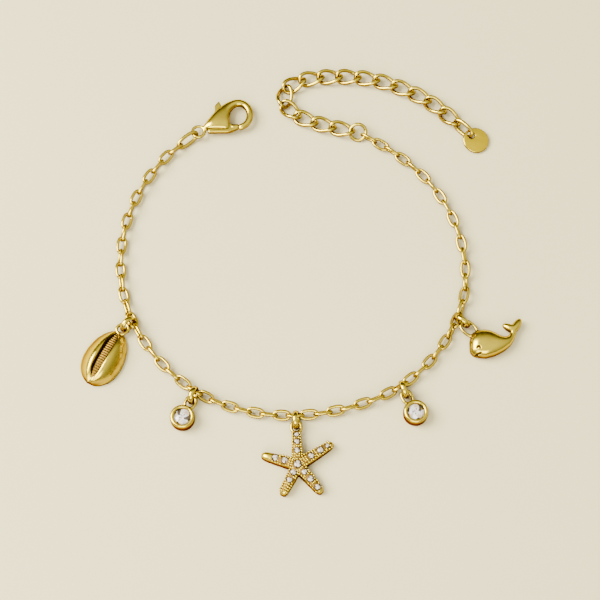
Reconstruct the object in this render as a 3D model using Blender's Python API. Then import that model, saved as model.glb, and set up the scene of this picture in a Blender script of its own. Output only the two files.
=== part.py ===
"""Gold-coloured charm bracelet, lying unclasped on a flat surface.

A fine cable chain runs round a wrist-sized loop, from a lobster clasp to a connecting ring. An
extender of twisted oval links follows the ring and ends in a plain round tag. Five charms hang on
the chain: a cowrie shell, two round stones in bezels, a starfish set with small stones, and a whale.

Frame: the surface is z = 0, +Y runs from the starfish towards the clasp, +X runs from the clasp
towards the extender, and the origin is the centre of the bracelet's outer box on the surface.
Every size below is in millimetres, and MM turns it into metres when a mesh is finished.
"""
import math

import bmesh
import bpy
from mathutils import Matrix, Vector

MM = 0.001

# Middle of the bracelet's outer box in the coordinates of the two routes
MIDDLE = (0.095, 0.005)

# Fine cable chain
CHAIN_WIRE = 0.36
CHAIN_LINK_LENGTH = 2.93
CHAIN_LINK_WIDTH = 1.90
CHAIN_SOLDER = 0.10         # depth by which neighbouring links of one half are fused
CHAIN_HEIGHT = 0.93         # height of the chain's centre line
CHAIN_STATIONS = 10
CHAIN_SIDES = 5
CHAIN_SPLIT = 0.515         # share of the links at which the two halves meet

# Route of the chain's centre line, from the clasp's eye to the connecting ring
CHAIN_ROUTE = [
    (-18.1, 26.2), (-23.6, 21.4), (-27.7, 15.2), (-30.1, 8.1), (-30.6, 0.7), (-29.2, -6.7),
    (-25.8, -13.3), (-20.8, -18.9), (-14.6, -23.0), (-7.4, -25.2), (0.0, -25.6), (7.4, -24.4),
    (14.4, -21.7), (20.3, -17.2), (24.7, -11.2), (27.3, -4.2), (27.4, 3.3), (25.5, 10.5),
    (21.7, 16.9), (16.3, 22.1), (9.9, 26.3),
]

# How far the links are drawn apart: share along the chain, pitch relative to the mean
CHAIN_DRAW = [
    (0.0, 1.005), (0.24, 1.005), (0.26, 1.035), (0.345, 1.035), (0.365, 0.93), (0.475, 0.93),
    (0.495, 0.99), (0.605, 0.99), (0.62, 0.95), (0.72, 0.95), (0.74, 1.037), (1.0, 1.037),
]

# How the open links roll, outer side up: share along the chain, roll in degrees
CHAIN_ROLL = [(0.0, 36.0), (0.10, 20.0), (0.26, 25.0), (0.36, -25.0), (0.62, -25.0), (0.72, 25.0),
              (1.0, 12.0)]

# Clearance left between separate interlocked pieces
RUNNING_GAP = 0.07

# Oval link between the clasp's eye and the chain
CLASP_LINK_LENGTH = 4.1
CLASP_LINK_WIDTH = 2.3
CLASP_LINK_WIRE = 0.42
CLASP_LINK_ROLL = 58.0

# Connecting ring between the chain and the extender
CONNECTING_RING_DIAMETER = 3.4
CONNECTING_RING_WIRE = 0.5
CONNECTING_RING_ROLL = -26.0

# Extender of twisted oval links
EXTENDER_LINKS = 15
EXTENDER_LINK_LENGTH = 4.42
EXTENDER_LINK_WIDTH = 3.05
EXTENDER_WIRE = 0.44
EXTENDER_TWIST = -46.0      # roll of a link's ends against its middle, in degrees
EXTENDER_HEIGHT = 0.92
EXTENDER_GAP = 0.20         # play between two links
EXTENDER_ROUTE = [
    (9.9, 26.3), (6.6, 27.0), (3.2, 27.9), (0.0, 29.0), (-2.7, 31.1), (-3.6, 33.6), (-2.1, 35.8),
    (0.9, 37.1), (4.5, 37.5), (8.2, 37.5), (11.7, 37.2), (15.0, 36.3), (18.2, 35.0), (21.2, 33.4),
    (24.0, 31.4), (26.5, 28.9),
]

# End tag and its oval ring
TAG_DIAMETER = 4.6
TAG_THICKNESS = 0.5
TAG_HOLE = 1.3
TAG_HOLE_EDGE = 0.42        # metal left between the hole and the tag's edge
TAG_TILT = 11.0             # the hole's side lies on the ring, so the tag leans
TAG_SIDES = 24
TAG_RING_LENGTH = 4.1
TAG_RING_WIDTH = 2.5
TAG_RING_WIRE = 0.46
TAG_RING_ROLL = 56.0

# Jump rings of the charms
JUMP_RING_DIAMETER = 3.15
JUMP_RING_WIRE = 0.5
JUMP_RING_LEAN = 8.0
JUMP_RING_REACH = 1.0       # from the chain's centre line out to a jump ring's centre
EYE_REACH = 0.2             # from a jump ring's centre out to the near wire of the charm's eye

# Eye loops soldered to the charms
EYE_WIRE = 0.42
EYE_HEIGHT = 1.0

# Charms: share of the chain's links, whether that link lies open, offset along the link in mm,
# bearing of the jump ring and of the eye in degrees from +X, length and width of the eye in mm
CHARMS = {
    "cowrie": (0.242, True, 0.35, 226.0, 214.0, 2.25, 2.0),
    "bezel_left": (0.355, False, 0.20, 251.0, 245.0, 2.3, 1.9),
    "starfish": (0.484, False, 0.20, 269.0, 272.0, 2.06, 1.9),
    "bezel_right": (0.613, False, 0.30, 289.0, 296.0, 2.5, 1.9),
    "whale": (0.726, True, 0.20, 322.0, 314.0, 3.2, 2.3),
}

# Bezel cups and their round cut stones
BEZEL_DIAMETER = 4.05
BEZEL_HEIGHT = 2.1
BEZEL_BACK = 0.4
BEZEL_FOOT = 0.3            # rounding at the foot of the cup
BEZEL_RIM = 0.5             # height of the rolled rim
BEZEL_GRIP = 0.1            # reach of the rim over the stone's edge
BEZEL_WELL = 0.7            # width of the hollow under the stone
# Rolled rim from its outer to its inner side: shares of BEZEL_RIM inwards and down from the top
BEZEL_RIM_FORM = [(0.0, 1.0), (0.32, 0.24), (0.72, 0.0)]
STONE_DIAMETER = 2.80
STONE_GIRDLE_HEIGHT = 1.46
STONE_GIRDLE = 0.08
STONE_TABLE = 0.56          # width of the table as a share of the stone
STONE_CROWN = 0.42
STONE_PAVILION = 0.80
SETTING_GAP = 0.05
TURNED_SIDES = 16

# Starfish
STAR_HALF_WIDTH = 0.97
STAR_TIP_HALF_WIDTH = 0.70
STAR_HEIGHT = 1.9
STAR_TIP_HEIGHT = 1.5
STAR_ARM = 6.1
STAR_HUB = 1.2              # radius of the middle that the arms are soldered to
# Arms: bearing against the arm with the eye in degrees, length as a share of STAR_ARM
STAR_ARMS = [(0.0, 0.94), (71.0, 0.99), (151.0, 0.89), (219.0, 0.97), (301.0, 1.11)]
# Stones: arm number, distance out as a share of that arm, diameter in mm
STAR_STONES = [
    (0, 0.0, 1.3), (0, 0.40, 1.0), (0, 0.66, 0.95), (0, 0.87, 0.8), (1, 0.36, 1.1), (1, 0.62, 1.1),
    (2, 0.27, 1.05), (2, 0.52, 1.0), (3, 0.28, 1.0), (3, 0.53, 1.1), (3, 0.82, 1.0), (4, 0.38, 1.0),
    (4, 0.64, 1.1), (4, 0.84, 0.75),
]
STAR_STONE_SIDES = 8
STAR_STONE_TABLE = 0.58     # width of the table as a share of the stone
STAR_STONE_STAND = 0.2      # height of a stone's table above the metal
STAR_STONE_GIRDLE = 0.08    # height of a stone's edge above the metal
STAR_STONE_ROOT = 0.45      # depth of a stone's seat in the metal
# Arm from the hub to the tip: share of its length, share of its width
STAR_ARM_FORM = [(0.08, 1.0), (0.45, 1.0), (0.84, 0.96), (0.95, 0.76), (1.0, 0.40)]
STAR_TIP_FALL = 0.6         # share of an arm's height that falls off with its width
STAR_ARM_TAPER = 1.2        # power by which the arms keep their width before they narrow
# Section of an arm: place across and height as shares of the half width and the height
STAR_ARM_SECTION = [
    (-1.0, 0.0), (1.0, 0.0), (1.0, 0.42), (0.72, 0.84), (0.26, 1.0), (-0.26, 1.0), (-0.72, 0.84),
    (-1.0, 0.42),
]
# Hub from the back to the top: share of its radius, share of STAR_HEIGHT
STAR_HUB_FORM = [(1.0, 0.0), (1.0, 0.85), (0.8, 1.0)]

# Cowrie shell
COWRIE_LENGTH = 10.0
COWRIE_WIDTH = 6.75
COWRIE_HEIGHT = 3.3
COWRIE_RIM = 0.55
COWRIE_SLIT_DEPTH = 1.3
COWRIE_SLIT_WIDTH = 1.3
COWRIE_TURN = 30.0          # of the shell's long axis against its eye, in degrees
# Share of the length from the tip, then shares of the width, of the dome above the rim, and of the
# slit's width and depth
COWRIE_FORM = [
    (0.0, 0.16, 0.20, 0.12, 0.00), (0.04, 0.36, 0.33, 0.21, 0.25), (0.12, 0.6, 0.54, 0.61, 0.73),
    (0.24, 0.81, 0.77, 1.00, 1.00), (0.38, 0.94, 0.93, 1.00, 1.00), (0.52, 1.0, 1.00, 1.00, 1.00),
    (0.66, 0.98, 0.97, 1.00, 1.00), (0.78, 0.88, 0.85, 0.89, 1.00), (0.88, 0.7, 0.68, 0.42, 0.50),
    (0.95, 0.48, 0.51, 0.12, 0.07), (1.0, 0.2, 0.34, 0.12, 0.00),
]
# Section of each lip: place across as a share of the half width, height as a share of the dome
COWRIE_LEFT_LIP = [(-1.0, 0.0), (-0.93, 0.22), (-0.72, 0.70), (-0.45, 0.97)]
COWRIE_RIGHT_LIP = [(0.45, 1.0), (0.72, 0.74), (0.93, 0.24), (1.0, 0.0)]
COWRIE_SLIT_EDGE = 0.93     # height of the slit's edge as a share of the dome
COWRIE_SLIT_TAPER = 0.8     # width of the slit's floor as a share of its mouth

# Whale
WHALE_LENGTH = 8.85
WHALE_THICKNESS = 3.0
WHALE_BELLY = 2.48          # half of the body's greatest depth
WHALE_TURN = 46.0           # of the body's axis against its eye, in degrees
# Body from the head to the tail: share of the length along, share of the length to the side,
# half depth as a share of WHALE_BELLY
WHALE_BODY = [
    (0.010, 0.00, 0.34), (0.045, 0.00, 0.62), (0.10, 0.005, 0.80), (0.195, 0.03, 0.96),
    (0.32, 0.05, 0.99), (0.46, 0.048, 0.86), (0.60, 0.058, 0.60), (0.73, 0.105, 0.36),
    (0.81, 0.195, 0.225), (0.85, 0.29, 0.19), (0.86, 0.365, 0.17),
]
# Flukes from the stem to the tip: shares of the length along and to the side
WHALE_FLUKES = [((0.885, 0.315), (0.650, 0.434)), ((0.838, 0.300), (0.995, 0.553))]
# Fluke from root to tip: share of its length, share of its half width and rise
WHALE_FLUKE_FORM = [(0.0, 0.70), (0.25, 1.0), (0.55, 1.0), (0.80, 0.76), (0.94, 0.45), (1.0, 0.18)]
WHALE_FLUKE_HALF_WIDTH = 0.62
WHALE_FLUKE_RISE = 0.62
WHALE_BACK = 0.5            # rise of the back as a share of the front's
WHALE_ROUNDNESS = 0.8
WHALE_SIDES = 12
# Near end of the eye against the whale's nose: shares of the length along and to the side
WHALE_EYE = (-0.095, 0.470)

# Lobster clasp. In its tables the eye's centre is the origin, the first column runs towards the
# hook as a share of CLASP_LENGTH and the second across as a share of CLASP_WIDTH.
CLASP_BEARING = 1.0
CLASP_LENGTH = 7.05         # from the eye's centre to the middle of the hook
CLASP_WIDTH = 6.0
CLASP_THICKNESS = 2.5
CLASP_NECK_THICKNESS = 1.5
CLASP_EDGE = 0.42           # rounding of the body's edges
CLASP_EYE_DIAMETER = 2.6
CLASP_EYE_WIRE = 0.46
CLASP_BODY = [
    (0.142, 0.053), (0.750, 0.018), (0.792, 0.065), (0.797, 0.260), (0.783, 0.450), (0.795, 0.617),
    (0.851, 0.750), (0.936, 0.860), (0.880, 1.010), (0.766, 0.975), (0.631, 0.883), (0.421, 0.658),
    (0.170, 0.260), (0.128, 0.170),
]
CLASP_SLOT = 1.0            # height of the slot that holds the lever
CLASP_SLOT_AREA = [
    (0.213, -0.20), (0.880, -0.20), (0.880, 0.52), (0.709, 0.60), (0.638, 0.76), (0.585, 1.05),
    (0.043, 0.83), (0.170, 0.35), (0.213, 0.17),
]
CLASP_PIN = 0.6
CLASP_PIN_SEAT = 0.19       # depth of the pin's ends in the sides of the slot
HOOK_MIDDLE = 0.525         # height of the hook's middle as a share of CLASP_WIDTH
HOOK_HALF_LENGTH = 1.95
HOOK_HALF_HEIGHT = 2.37
HOOK_ROOT_ANGLE = 152.0
HOOK_TIP_ANGLE = -84.0
HOOK_ROOT_WIDTH = 1.75
HOOK_TIP_WIDTH = 0.80
HOOK_ROOT_THICKNESS = 2.0
HOOK_TIP_THICKNESS = 0.95
HOOK_TAPER = 0.7            # power by which the hook thins from its root to its tip
HOOK_STATIONS = 14
HOOK_SIDES = 8
LEVER_THICKNESS = 0.8
LEVER_TIP_GAP = 0.15
LEVER_PIVOT = (0.503, 0.292)
LEVER_OUTLINE = [
    (0.248, -0.050), (0.738, -0.053), (0.851, 0.013), (0.960, 0.050), (1.0, 0.103), (1.0, 0.180),
    (0.851, 0.175), (0.752, 0.225), (0.674, 0.433), (0.589, 0.617), (0.575, 0.800), (0.500, 0.990),
    (0.420, 0.880), (0.426, 0.667), (0.390, 0.433), (0.277, 0.192), (0.241, 0.050),
]

ROUTE_STEPS = 24
LINK_FULLNESS = 0.8         # power that makes a long loop fuller at its ends than an ellipse
RING_STATIONS = 12
RING_SIDES = 5
SMOOTH_ANGLE = 40.0         # edges that bend more than this stay sharp


class Route:
    """A smooth level curve through chosen points, read by the distance along it."""

    def __init__(self, points, height):
        knots = [Vector((x, y, height)) for x, y in points]
        knots = [2 * knots[0] - knots[1]] + knots + [2 * knots[-1] - knots[-2]]
        self.points = []
        for before, start, end, after in zip(knots, knots[1:], knots[2:], knots[3:]):
            for step in range(ROUTE_STEPS):
                self.points.append(between(before, start, end, after, step / ROUTE_STEPS))
        self.points.append(knots[-2])
        self.distances = [0.0]
        for start, end in zip(self.points, self.points[1:]):
            self.distances.append(self.distances[-1] + (end - start).length)
        self.length = self.distances[-1]

    def at(self, distance):
        """Point and direction at a distance; beyond either end the route runs straight on."""
        index = 1
        while index < len(self.points) - 1 and self.distances[index] < distance:
            index += 1
        start = self.points[index - 1]
        direction = (self.points[index] - start).normalized()
        return start + direction * (distance - self.distances[index - 1]), direction

    def step(self, distance, stride):
        """Distance of the point that lies a straight stride ahead of the one at a distance."""
        start, _ = self.at(distance)
        ahead = distance + stride
        for _ in range(ROUTE_STEPS):
            point, _ = self.at(ahead)
            ahead += stride - (point - start).length
        return ahead


def between(before, start, end, after, share):
    """Point on the smooth curve from start to end, bent by the points before and after."""
    straight = end - start
    leave = (end - before) / 2
    arrive = (after - start) / 2
    bend = leave + arrive - 2 * straight
    return start + share * (leave + share * (3 * straight - 2 * leave - arrive + share * bend))


def table_value(table, share):
    """Value at a share, read along straight lines between a table's rows."""
    for (low, first), (high, second) in zip(table, table[1:]):
        if share <= high:
            return first + (second - first) * max(share - low, 0.0) / (high - low)
    return table[-1][1]


def frame_at(centre, along, side):
    """Frame with x along, y towards side, and z square to both."""
    x_axis = along.normalized()
    z_axis = x_axis.cross(side).normalized()
    y_axis = z_axis.cross(x_axis)
    frame = Matrix((x_axis, y_axis, z_axis)).transposed().to_4x4()
    frame.translation = centre
    return frame


def level_frame(centre, bearing):
    """Frame lying level at centre, turned to a bearing in degrees from +X."""
    return Matrix.Translation(centre) @ Matrix.Rotation(math.radians(bearing), 4, "Z")


def bearing_direction(bearing):
    angle = math.radians(bearing)
    return Vector((math.cos(angle), math.sin(angle), 0.0))


def oval(length, width, stations, twist=0.0):
    """Centre line of an oval loop and the normal of its plane, station by station."""
    fullness = LINK_FULLNESS if length > width else 1.0
    centres = []
    normals = []
    for station in range(stations):
        angle = math.tau * station / stations
        along = math.copysign(abs(math.cos(angle)) ** fullness, math.cos(angle))
        across = width / 2 * math.copysign(abs(math.sin(angle)) ** fullness, math.sin(angle))
        roll = math.radians(twist) * along
        centres.append(Vector((length / 2 * along, across * math.cos(roll), across * math.sin(roll))))
        normals.append(Vector((0.0, -math.sin(roll), math.cos(roll))))
    return centres, normals


def add_loop(mesh, length, width, wire, stations, sides, frame=None, twist=0.0):
    """Adds a closed loop of round wire; length and width are measured over the outside."""
    frame = frame or Matrix.Identity(4)
    centres, normals = oval(length - wire, width - wire, stations, twist)
    rings = []
    for index, centre in enumerate(centres):
        tangent = (centres[(index + 1) % stations] - centres[index - 1]).normalized()
        inward = normals[index].cross(tangent).normalized()
        upward = tangent.cross(inward)
        ring = []
        for side in range(sides):
            angle = math.tau * side / sides
            offset = wire / 2 * (math.cos(angle) * inward + math.sin(angle) * upward)
            ring.append(mesh.verts.new(frame @ (centre + offset)))
        rings.append(ring)
    for index, ring in enumerate(rings):
        join_rings(mesh, ring, rings[(index + 1) % stations])


def join_rings(mesh, first, second):
    """Faces between two rings of as many corners, which run anticlockwise about the way on."""
    count = len(first)
    for corner in range(count):
        following = (corner + 1) % count
        mesh.faces.new((first[corner], first[following], second[following], second[corner]))


def add_loft(mesh, rings):
    """Adds a closed body through the rings of points, with a flat face at each end."""
    corners = [[mesh.verts.new(point) for point in ring] for ring in rings]
    for first, second in zip(corners, corners[1:]):
        join_rings(mesh, first, second)
    mesh.faces.new(list(reversed(corners[0])))
    mesh.faces.new(corners[-1])


def add_prism(mesh, outline, bottom, top):
    """Adds an upright prism over an outline that runs anticlockwise."""
    add_loft(mesh, [[Vector((x, y, z)) for x, y in outline] for z in (bottom, top)])


def circle(radius, sides, centre=(0.0, 0.0)):
    """Corners of a circle, anticlockwise."""
    angles = [math.tau * side / sides for side in range(sides)]
    return [(centre[0] + radius * math.cos(a), centre[1] + radius * math.sin(a)) for a in angles]


def add_turned(mesh, profile, sides):
    """Adds a body turned about z. The profile of radius and height starts and ends on the axis."""
    rings = []
    for radius, height in profile[1:-1]:
        rings.append([mesh.verts.new((x, y, height)) for x, y in circle(radius, sides)])
    for first, second in zip(rings, rings[1:]):
        join_rings(mesh, first, second)
    for pole, ring in ((profile[0], rings[0]), (profile[-1], rings[-1])):
        tip = mesh.verts.new((0.0, 0.0, pole[1]))
        for side in range(sides):
            pair = (ring[side], ring[(side + 1) % sides])
            if ring is rings[0]:
                pair = (pair[1], pair[0])
            mesh.faces.new((pair[0], pair[1], tip))


def make_material(name, colour, metallic, roughness):
    """Principled material of one finish."""
    material = bpy.data.materials.new(name)
    material.use_nodes = True
    shader = material.node_tree.nodes["Principled BSDF"]
    shader.inputs["Base Color"].default_value = (*colour, 1.0)
    shader.inputs["Metallic"].default_value = metallic
    shader.inputs["Roughness"].default_value = roughness
    material.diffuse_color = (*colour, 1.0)
    return material


def finish_mesh(name, shape):
    """Turns a shape in millimetres into a mesh in metres, facing out, its round faces smooth."""
    bmesh.ops.recalc_face_normals(shape, faces=shape.faces)
    bmesh.ops.scale(shape, vec=(MM, MM, MM), verts=shape.verts)
    mesh = bpy.data.meshes.new(name)
    shape.to_mesh(mesh)
    shape.free()
    mesh.shade_smooth()
    mesh.set_sharp_from_angle(angle=math.radians(SMOOTH_ANGLE))
    return mesh


def place(name, mesh, material=None, frame=None, parent=None):
    """Adds one named object at a frame in millimetres within its parent's."""
    item = bpy.data.objects.new(name, mesh)
    bpy.context.collection.objects.link(item)
    frame = (frame or Matrix.Identity(4)).copy()
    frame.translation *= MM
    item.matrix_basis = frame
    item.parent = parent
    if material and not mesh.materials:
        mesh.materials.append(material)
    return item


def combine(body, tool_shape, operation):
    """Solders a shape to a body, or cuts it out; the tool stays as a hidden guide."""
    tool = place(f"{body.name}_{operation.lower()}", finish_mesh("tool", tool_shape))
    tool.parent = body.parent
    tool.matrix_basis = body.matrix_basis
    tool.hide_render = True
    tool.display_type = "WIRE"
    modifier = body.modifiers.new(operation.capitalize(), "BOOLEAN")
    modifier.operation = operation
    modifier.solver = "EXACT"
    modifier.object = tool


class FineChain:
    """Places of the fine chain's links along its route, counted from the clasp's end.

    Their number is odd, so that both end links stand upright in the rings they hang on.
    """

    def __init__(self):
        self.route = Route(CHAIN_ROUTE, CHAIN_HEIGHT)
        clasp_hole = CLASP_EYE_DIAMETER / 2 - CLASP_EYE_WIRE
        clasp_link_reach = CLASP_LINK_LENGTH / 2 - CLASP_LINK_WIRE
        reach = CHAIN_LINK_LENGTH / 2 - CHAIN_WIRE
        ring_hole = CONNECTING_RING_DIAMETER / 2 - CONNECTING_RING_WIRE
        self.clasp_link_distance = clasp_hole + clasp_link_reach - RUNNING_GAP
        first = self.clasp_link_distance + clasp_link_reach + reach - RUNNING_GAP
        last = self.route.length - ring_hole - reach + RUNNING_GAP
        pitch = 2 * reach + CHAIN_SOLDER
        steps = 2 * round((last - first) / (2 * pitch))
        self.split = round(CHAIN_SPLIT * steps)
        draws = [table_value(CHAIN_DRAW, (step + 0.5) / steps) for step in range(steps)]
        slack = CHAIN_SOLDER + RUNNING_GAP
        stretch = (last - first + slack) / sum(draws)
        pitches = [draw * stretch for draw in draws]
        self.lengths = []
        for link in range(steps + 1):
            near = pitches[max(link - 1, 0)]
            far = pitches[min(link, steps - 1)]
            self.lengths.append((near + far) / 2 - CHAIN_SOLDER + 2 * CHAIN_WIRE)
        self.distances = [first]
        for step, gap in enumerate(pitches):
            spare = slack if step == self.split else 0.0
            self.distances.append(self.distances[-1] + gap - spare)

    def lies_open(self, link):
        return link % 2 == 1

    def place_at(self, link, offset=0.0):
        """Centre, direction and outward direction of a link, at an offset along it."""
        centre, along = self.route.at(self.distances[link])
        return centre + offset * along, along, along.cross(Vector((0.0, 0.0, 1.0)))

    def frame_of(self, link):
        centre, along, outward = self.place_at(link)
        share = self.distances[link] / self.route.length
        roll = math.radians(table_value(CHAIN_ROLL, share))
        if not self.lies_open(link):
            roll += math.pi / 2
        side = math.cos(roll) * outward + math.sin(roll) * Vector((0.0, 0.0, 1.0))
        return frame_at(centre, along, side)

    def nearest(self, share, lies_open):
        """The link nearest to a share of all the links that lies open, or that stands."""
        count = len(self.distances)
        links = [link for link in range(count) if self.lies_open(link) == lies_open]
        return min(links, key=lambda link: abs(link - share * (count - 1)))


def build_chain(chain, material, parent):
    """Two halves, each of links fused at their ends: every second link is soldered to the rest."""
    count = len(chain.distances)
    halves = {"chain_left": range(chain.split + 1), "chain_right": range(chain.split + 1, count)}
    for name, links in halves.items():
        shapes = [bmesh.new(), bmesh.new()]
        for link in links:
            add_loop(shapes[link % 2], chain.lengths[link], CHAIN_LINK_WIDTH, CHAIN_WIRE,
                     CHAIN_STATIONS, CHAIN_SIDES, chain.frame_of(link))
        half = place(name, finish_mesh(name, shapes[0]), material, parent=parent)
        combine(half, shapes[1], "UNION")


def build_clasp_link(chain, material, parent):
    """Oval link that slopes from the height of the clasp's eye down to that of the chain."""
    centre, along = chain.route.at(chain.clasp_link_distance)
    outward = along.cross(Vector((0.0, 0.0, 1.0)))
    roll = math.radians(CLASP_LINK_ROLL)
    side = math.cos(roll) * outward + math.sin(roll) * Vector((0.0, 0.0, 1.0))
    centre.z = (CLASP_THICKNESS / 2 + CHAIN_HEIGHT) / 2
    along.z = (CHAIN_HEIGHT - CLASP_THICKNESS / 2) / (CLASP_LINK_LENGTH - CLASP_LINK_WIRE)
    shape = bmesh.new()
    add_loop(shape, CLASP_LINK_LENGTH, CLASP_LINK_WIDTH, CLASP_LINK_WIRE, RING_STATIONS, RING_SIDES)
    place("clasp_link", finish_mesh("clasp_link", shape), material, frame_at(centre, along, side), parent)


def clasp_point(shares):
    return CLASP_LENGTH * shares[0], CLASP_WIDTH * shares[1]


def hook_rings():
    """Sections of the hook from its root on the body round to its tip."""
    middle = Vector((CLASP_LENGTH, HOOK_MIDDLE * CLASP_WIDTH, 0.0))
    rings = []
    for station in range(HOOK_STATIONS + 1):
        share = station / HOOK_STATIONS
        angle = math.radians(HOOK_ROOT_ANGLE + (HOOK_TIP_ANGLE - HOOK_ROOT_ANGLE) * share)
        spoke = Vector((HOOK_HALF_LENGTH * math.cos(angle), HOOK_HALF_HEIGHT * math.sin(angle), 0.0))
        square = Vector((math.cos(angle) * HOOK_HALF_HEIGHT, math.sin(angle) * HOOK_HALF_LENGTH, 0.0))
        square.normalize()
        taper = share ** HOOK_TAPER
        width = HOOK_ROOT_WIDTH + (HOOK_TIP_WIDTH - HOOK_ROOT_WIDTH) * taper
        thickness = HOOK_ROOT_THICKNESS + (HOOK_TIP_THICKNESS - HOOK_ROOT_THICKNESS) * taper
        ring = []
        for side in range(HOOK_SIDES):
            turn = -math.tau * (side + 0.5) / HOOK_SIDES
            lift = Vector((0.0, 0.0, thickness / 2 * math.sin(turn)))
            ring.append(middle + spoke + width / 2 * math.cos(turn) * square + lift)
        rings.append(ring)
    return rings


def clasp_frame(chain):
    centre, _ = chain.route.at(0.0)
    centre.z = CLASP_THICKNESS / 2
    return level_frame(centre, CLASP_BEARING)


def round_edges(shape, width):
    """Rounds the flat faces' edges of a prism."""
    edges = [edge for edge in shape.edges if abs(edge.verts[0].co.z - edge.verts[1].co.z) < 1e-6]
    bmesh.ops.bevel(shape, geom=edges, offset=width, segments=2, profile=0.5, affect="EDGES")


def build_clasp(chain, material, parent):
    """Body with hook, eye and hidden pin in one solid, and the sprung lever on the pin."""
    frame = clasp_frame(chain)
    half = CLASP_THICKNESS / 2
    body_shape = bmesh.new()
    add_prism(body_shape, [clasp_point(row) for row in CLASP_BODY], -half, half)
    round_edges(body_shape, CLASP_EDGE)
    neck = CLASP_NECK_THICKNESS / CLASP_THICKNESS
    for vertex in body_shape.verts:
        share = min(max(vertex.co.x / (CLASP_LENGTH / 2), 0.0), 1.0)
        vertex.co.z *= neck + (1 - neck) * share
    body = place("clasp_body", finish_mesh("clasp_body", body_shape), material, frame, parent)
    hook = bmesh.new()
    add_loft(hook, hook_rings())
    combine(body, hook, "UNION")
    slot = bmesh.new()
    add_prism(slot, [clasp_point(row) for row in CLASP_SLOT_AREA], -CLASP_SLOT / 2, CLASP_SLOT / 2)
    combine(body, slot, "DIFFERENCE")
    fittings = bmesh.new()
    add_loop(fittings, CLASP_EYE_DIAMETER, CLASP_EYE_DIAMETER, CLASP_EYE_WIRE, RING_STATIONS, RING_SIDES)
    pivot = clasp_point(LEVER_PIVOT)
    pin_reach = CLASP_SLOT / 2 + CLASP_PIN_SEAT
    add_prism(fittings, circle(CLASP_PIN / 2, RING_STATIONS, pivot), -pin_reach, pin_reach)
    combine(body, fittings, "UNION")

    tip_x = CLASP_LENGTH + HOOK_HALF_LENGTH * math.cos(math.radians(HOOK_TIP_ANGLE)) - LEVER_TIP_GAP
    lever_length = tip_x - pivot[0]
    outline = []
    for along, across in LEVER_OUTLINE:
        x, y = CLASP_LENGTH * along, CLASP_WIDTH * across
        if x > pivot[0]:
            x = pivot[0] + (x - pivot[0]) * lever_length / (CLASP_LENGTH - pivot[0])
        outline.append((x - pivot[0], y - pivot[1]))
    lever_shape = bmesh.new()
    add_prism(lever_shape, outline, -LEVER_THICKNESS / 2, LEVER_THICKNESS / 2)
    lever_frame = frame @ Matrix.Translation((*pivot, 0.0))
    lever = place("clasp_lever", finish_mesh("clasp_lever", lever_shape), material, lever_frame, parent)
    bore = bmesh.new()
    bore_radius = CLASP_PIN / 2 + RUNNING_GAP
    add_prism(bore, circle(bore_radius, RING_STATIONS), -LEVER_THICKNESS, LEVER_THICKNESS)
    combine(lever, bore, "DIFFERENCE")


def ring_height(diameter, wire, roll):
    """Height of a ring's centre that rests on the surface, rolled by an angle in degrees."""
    return (diameter - wire) / 2 * math.sin(math.radians(roll)) + wire / 2


def rolled_frame(centre, along, roll):
    """Frame along a level direction, its side raised by a roll in degrees."""
    side = Vector((-along.y, along.x, 0.0))
    turn = math.radians(roll)
    return frame_at(centre, along, math.cos(turn) * side + math.sin(turn) * Vector((0.0, 0.0, 1.0)))


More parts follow.
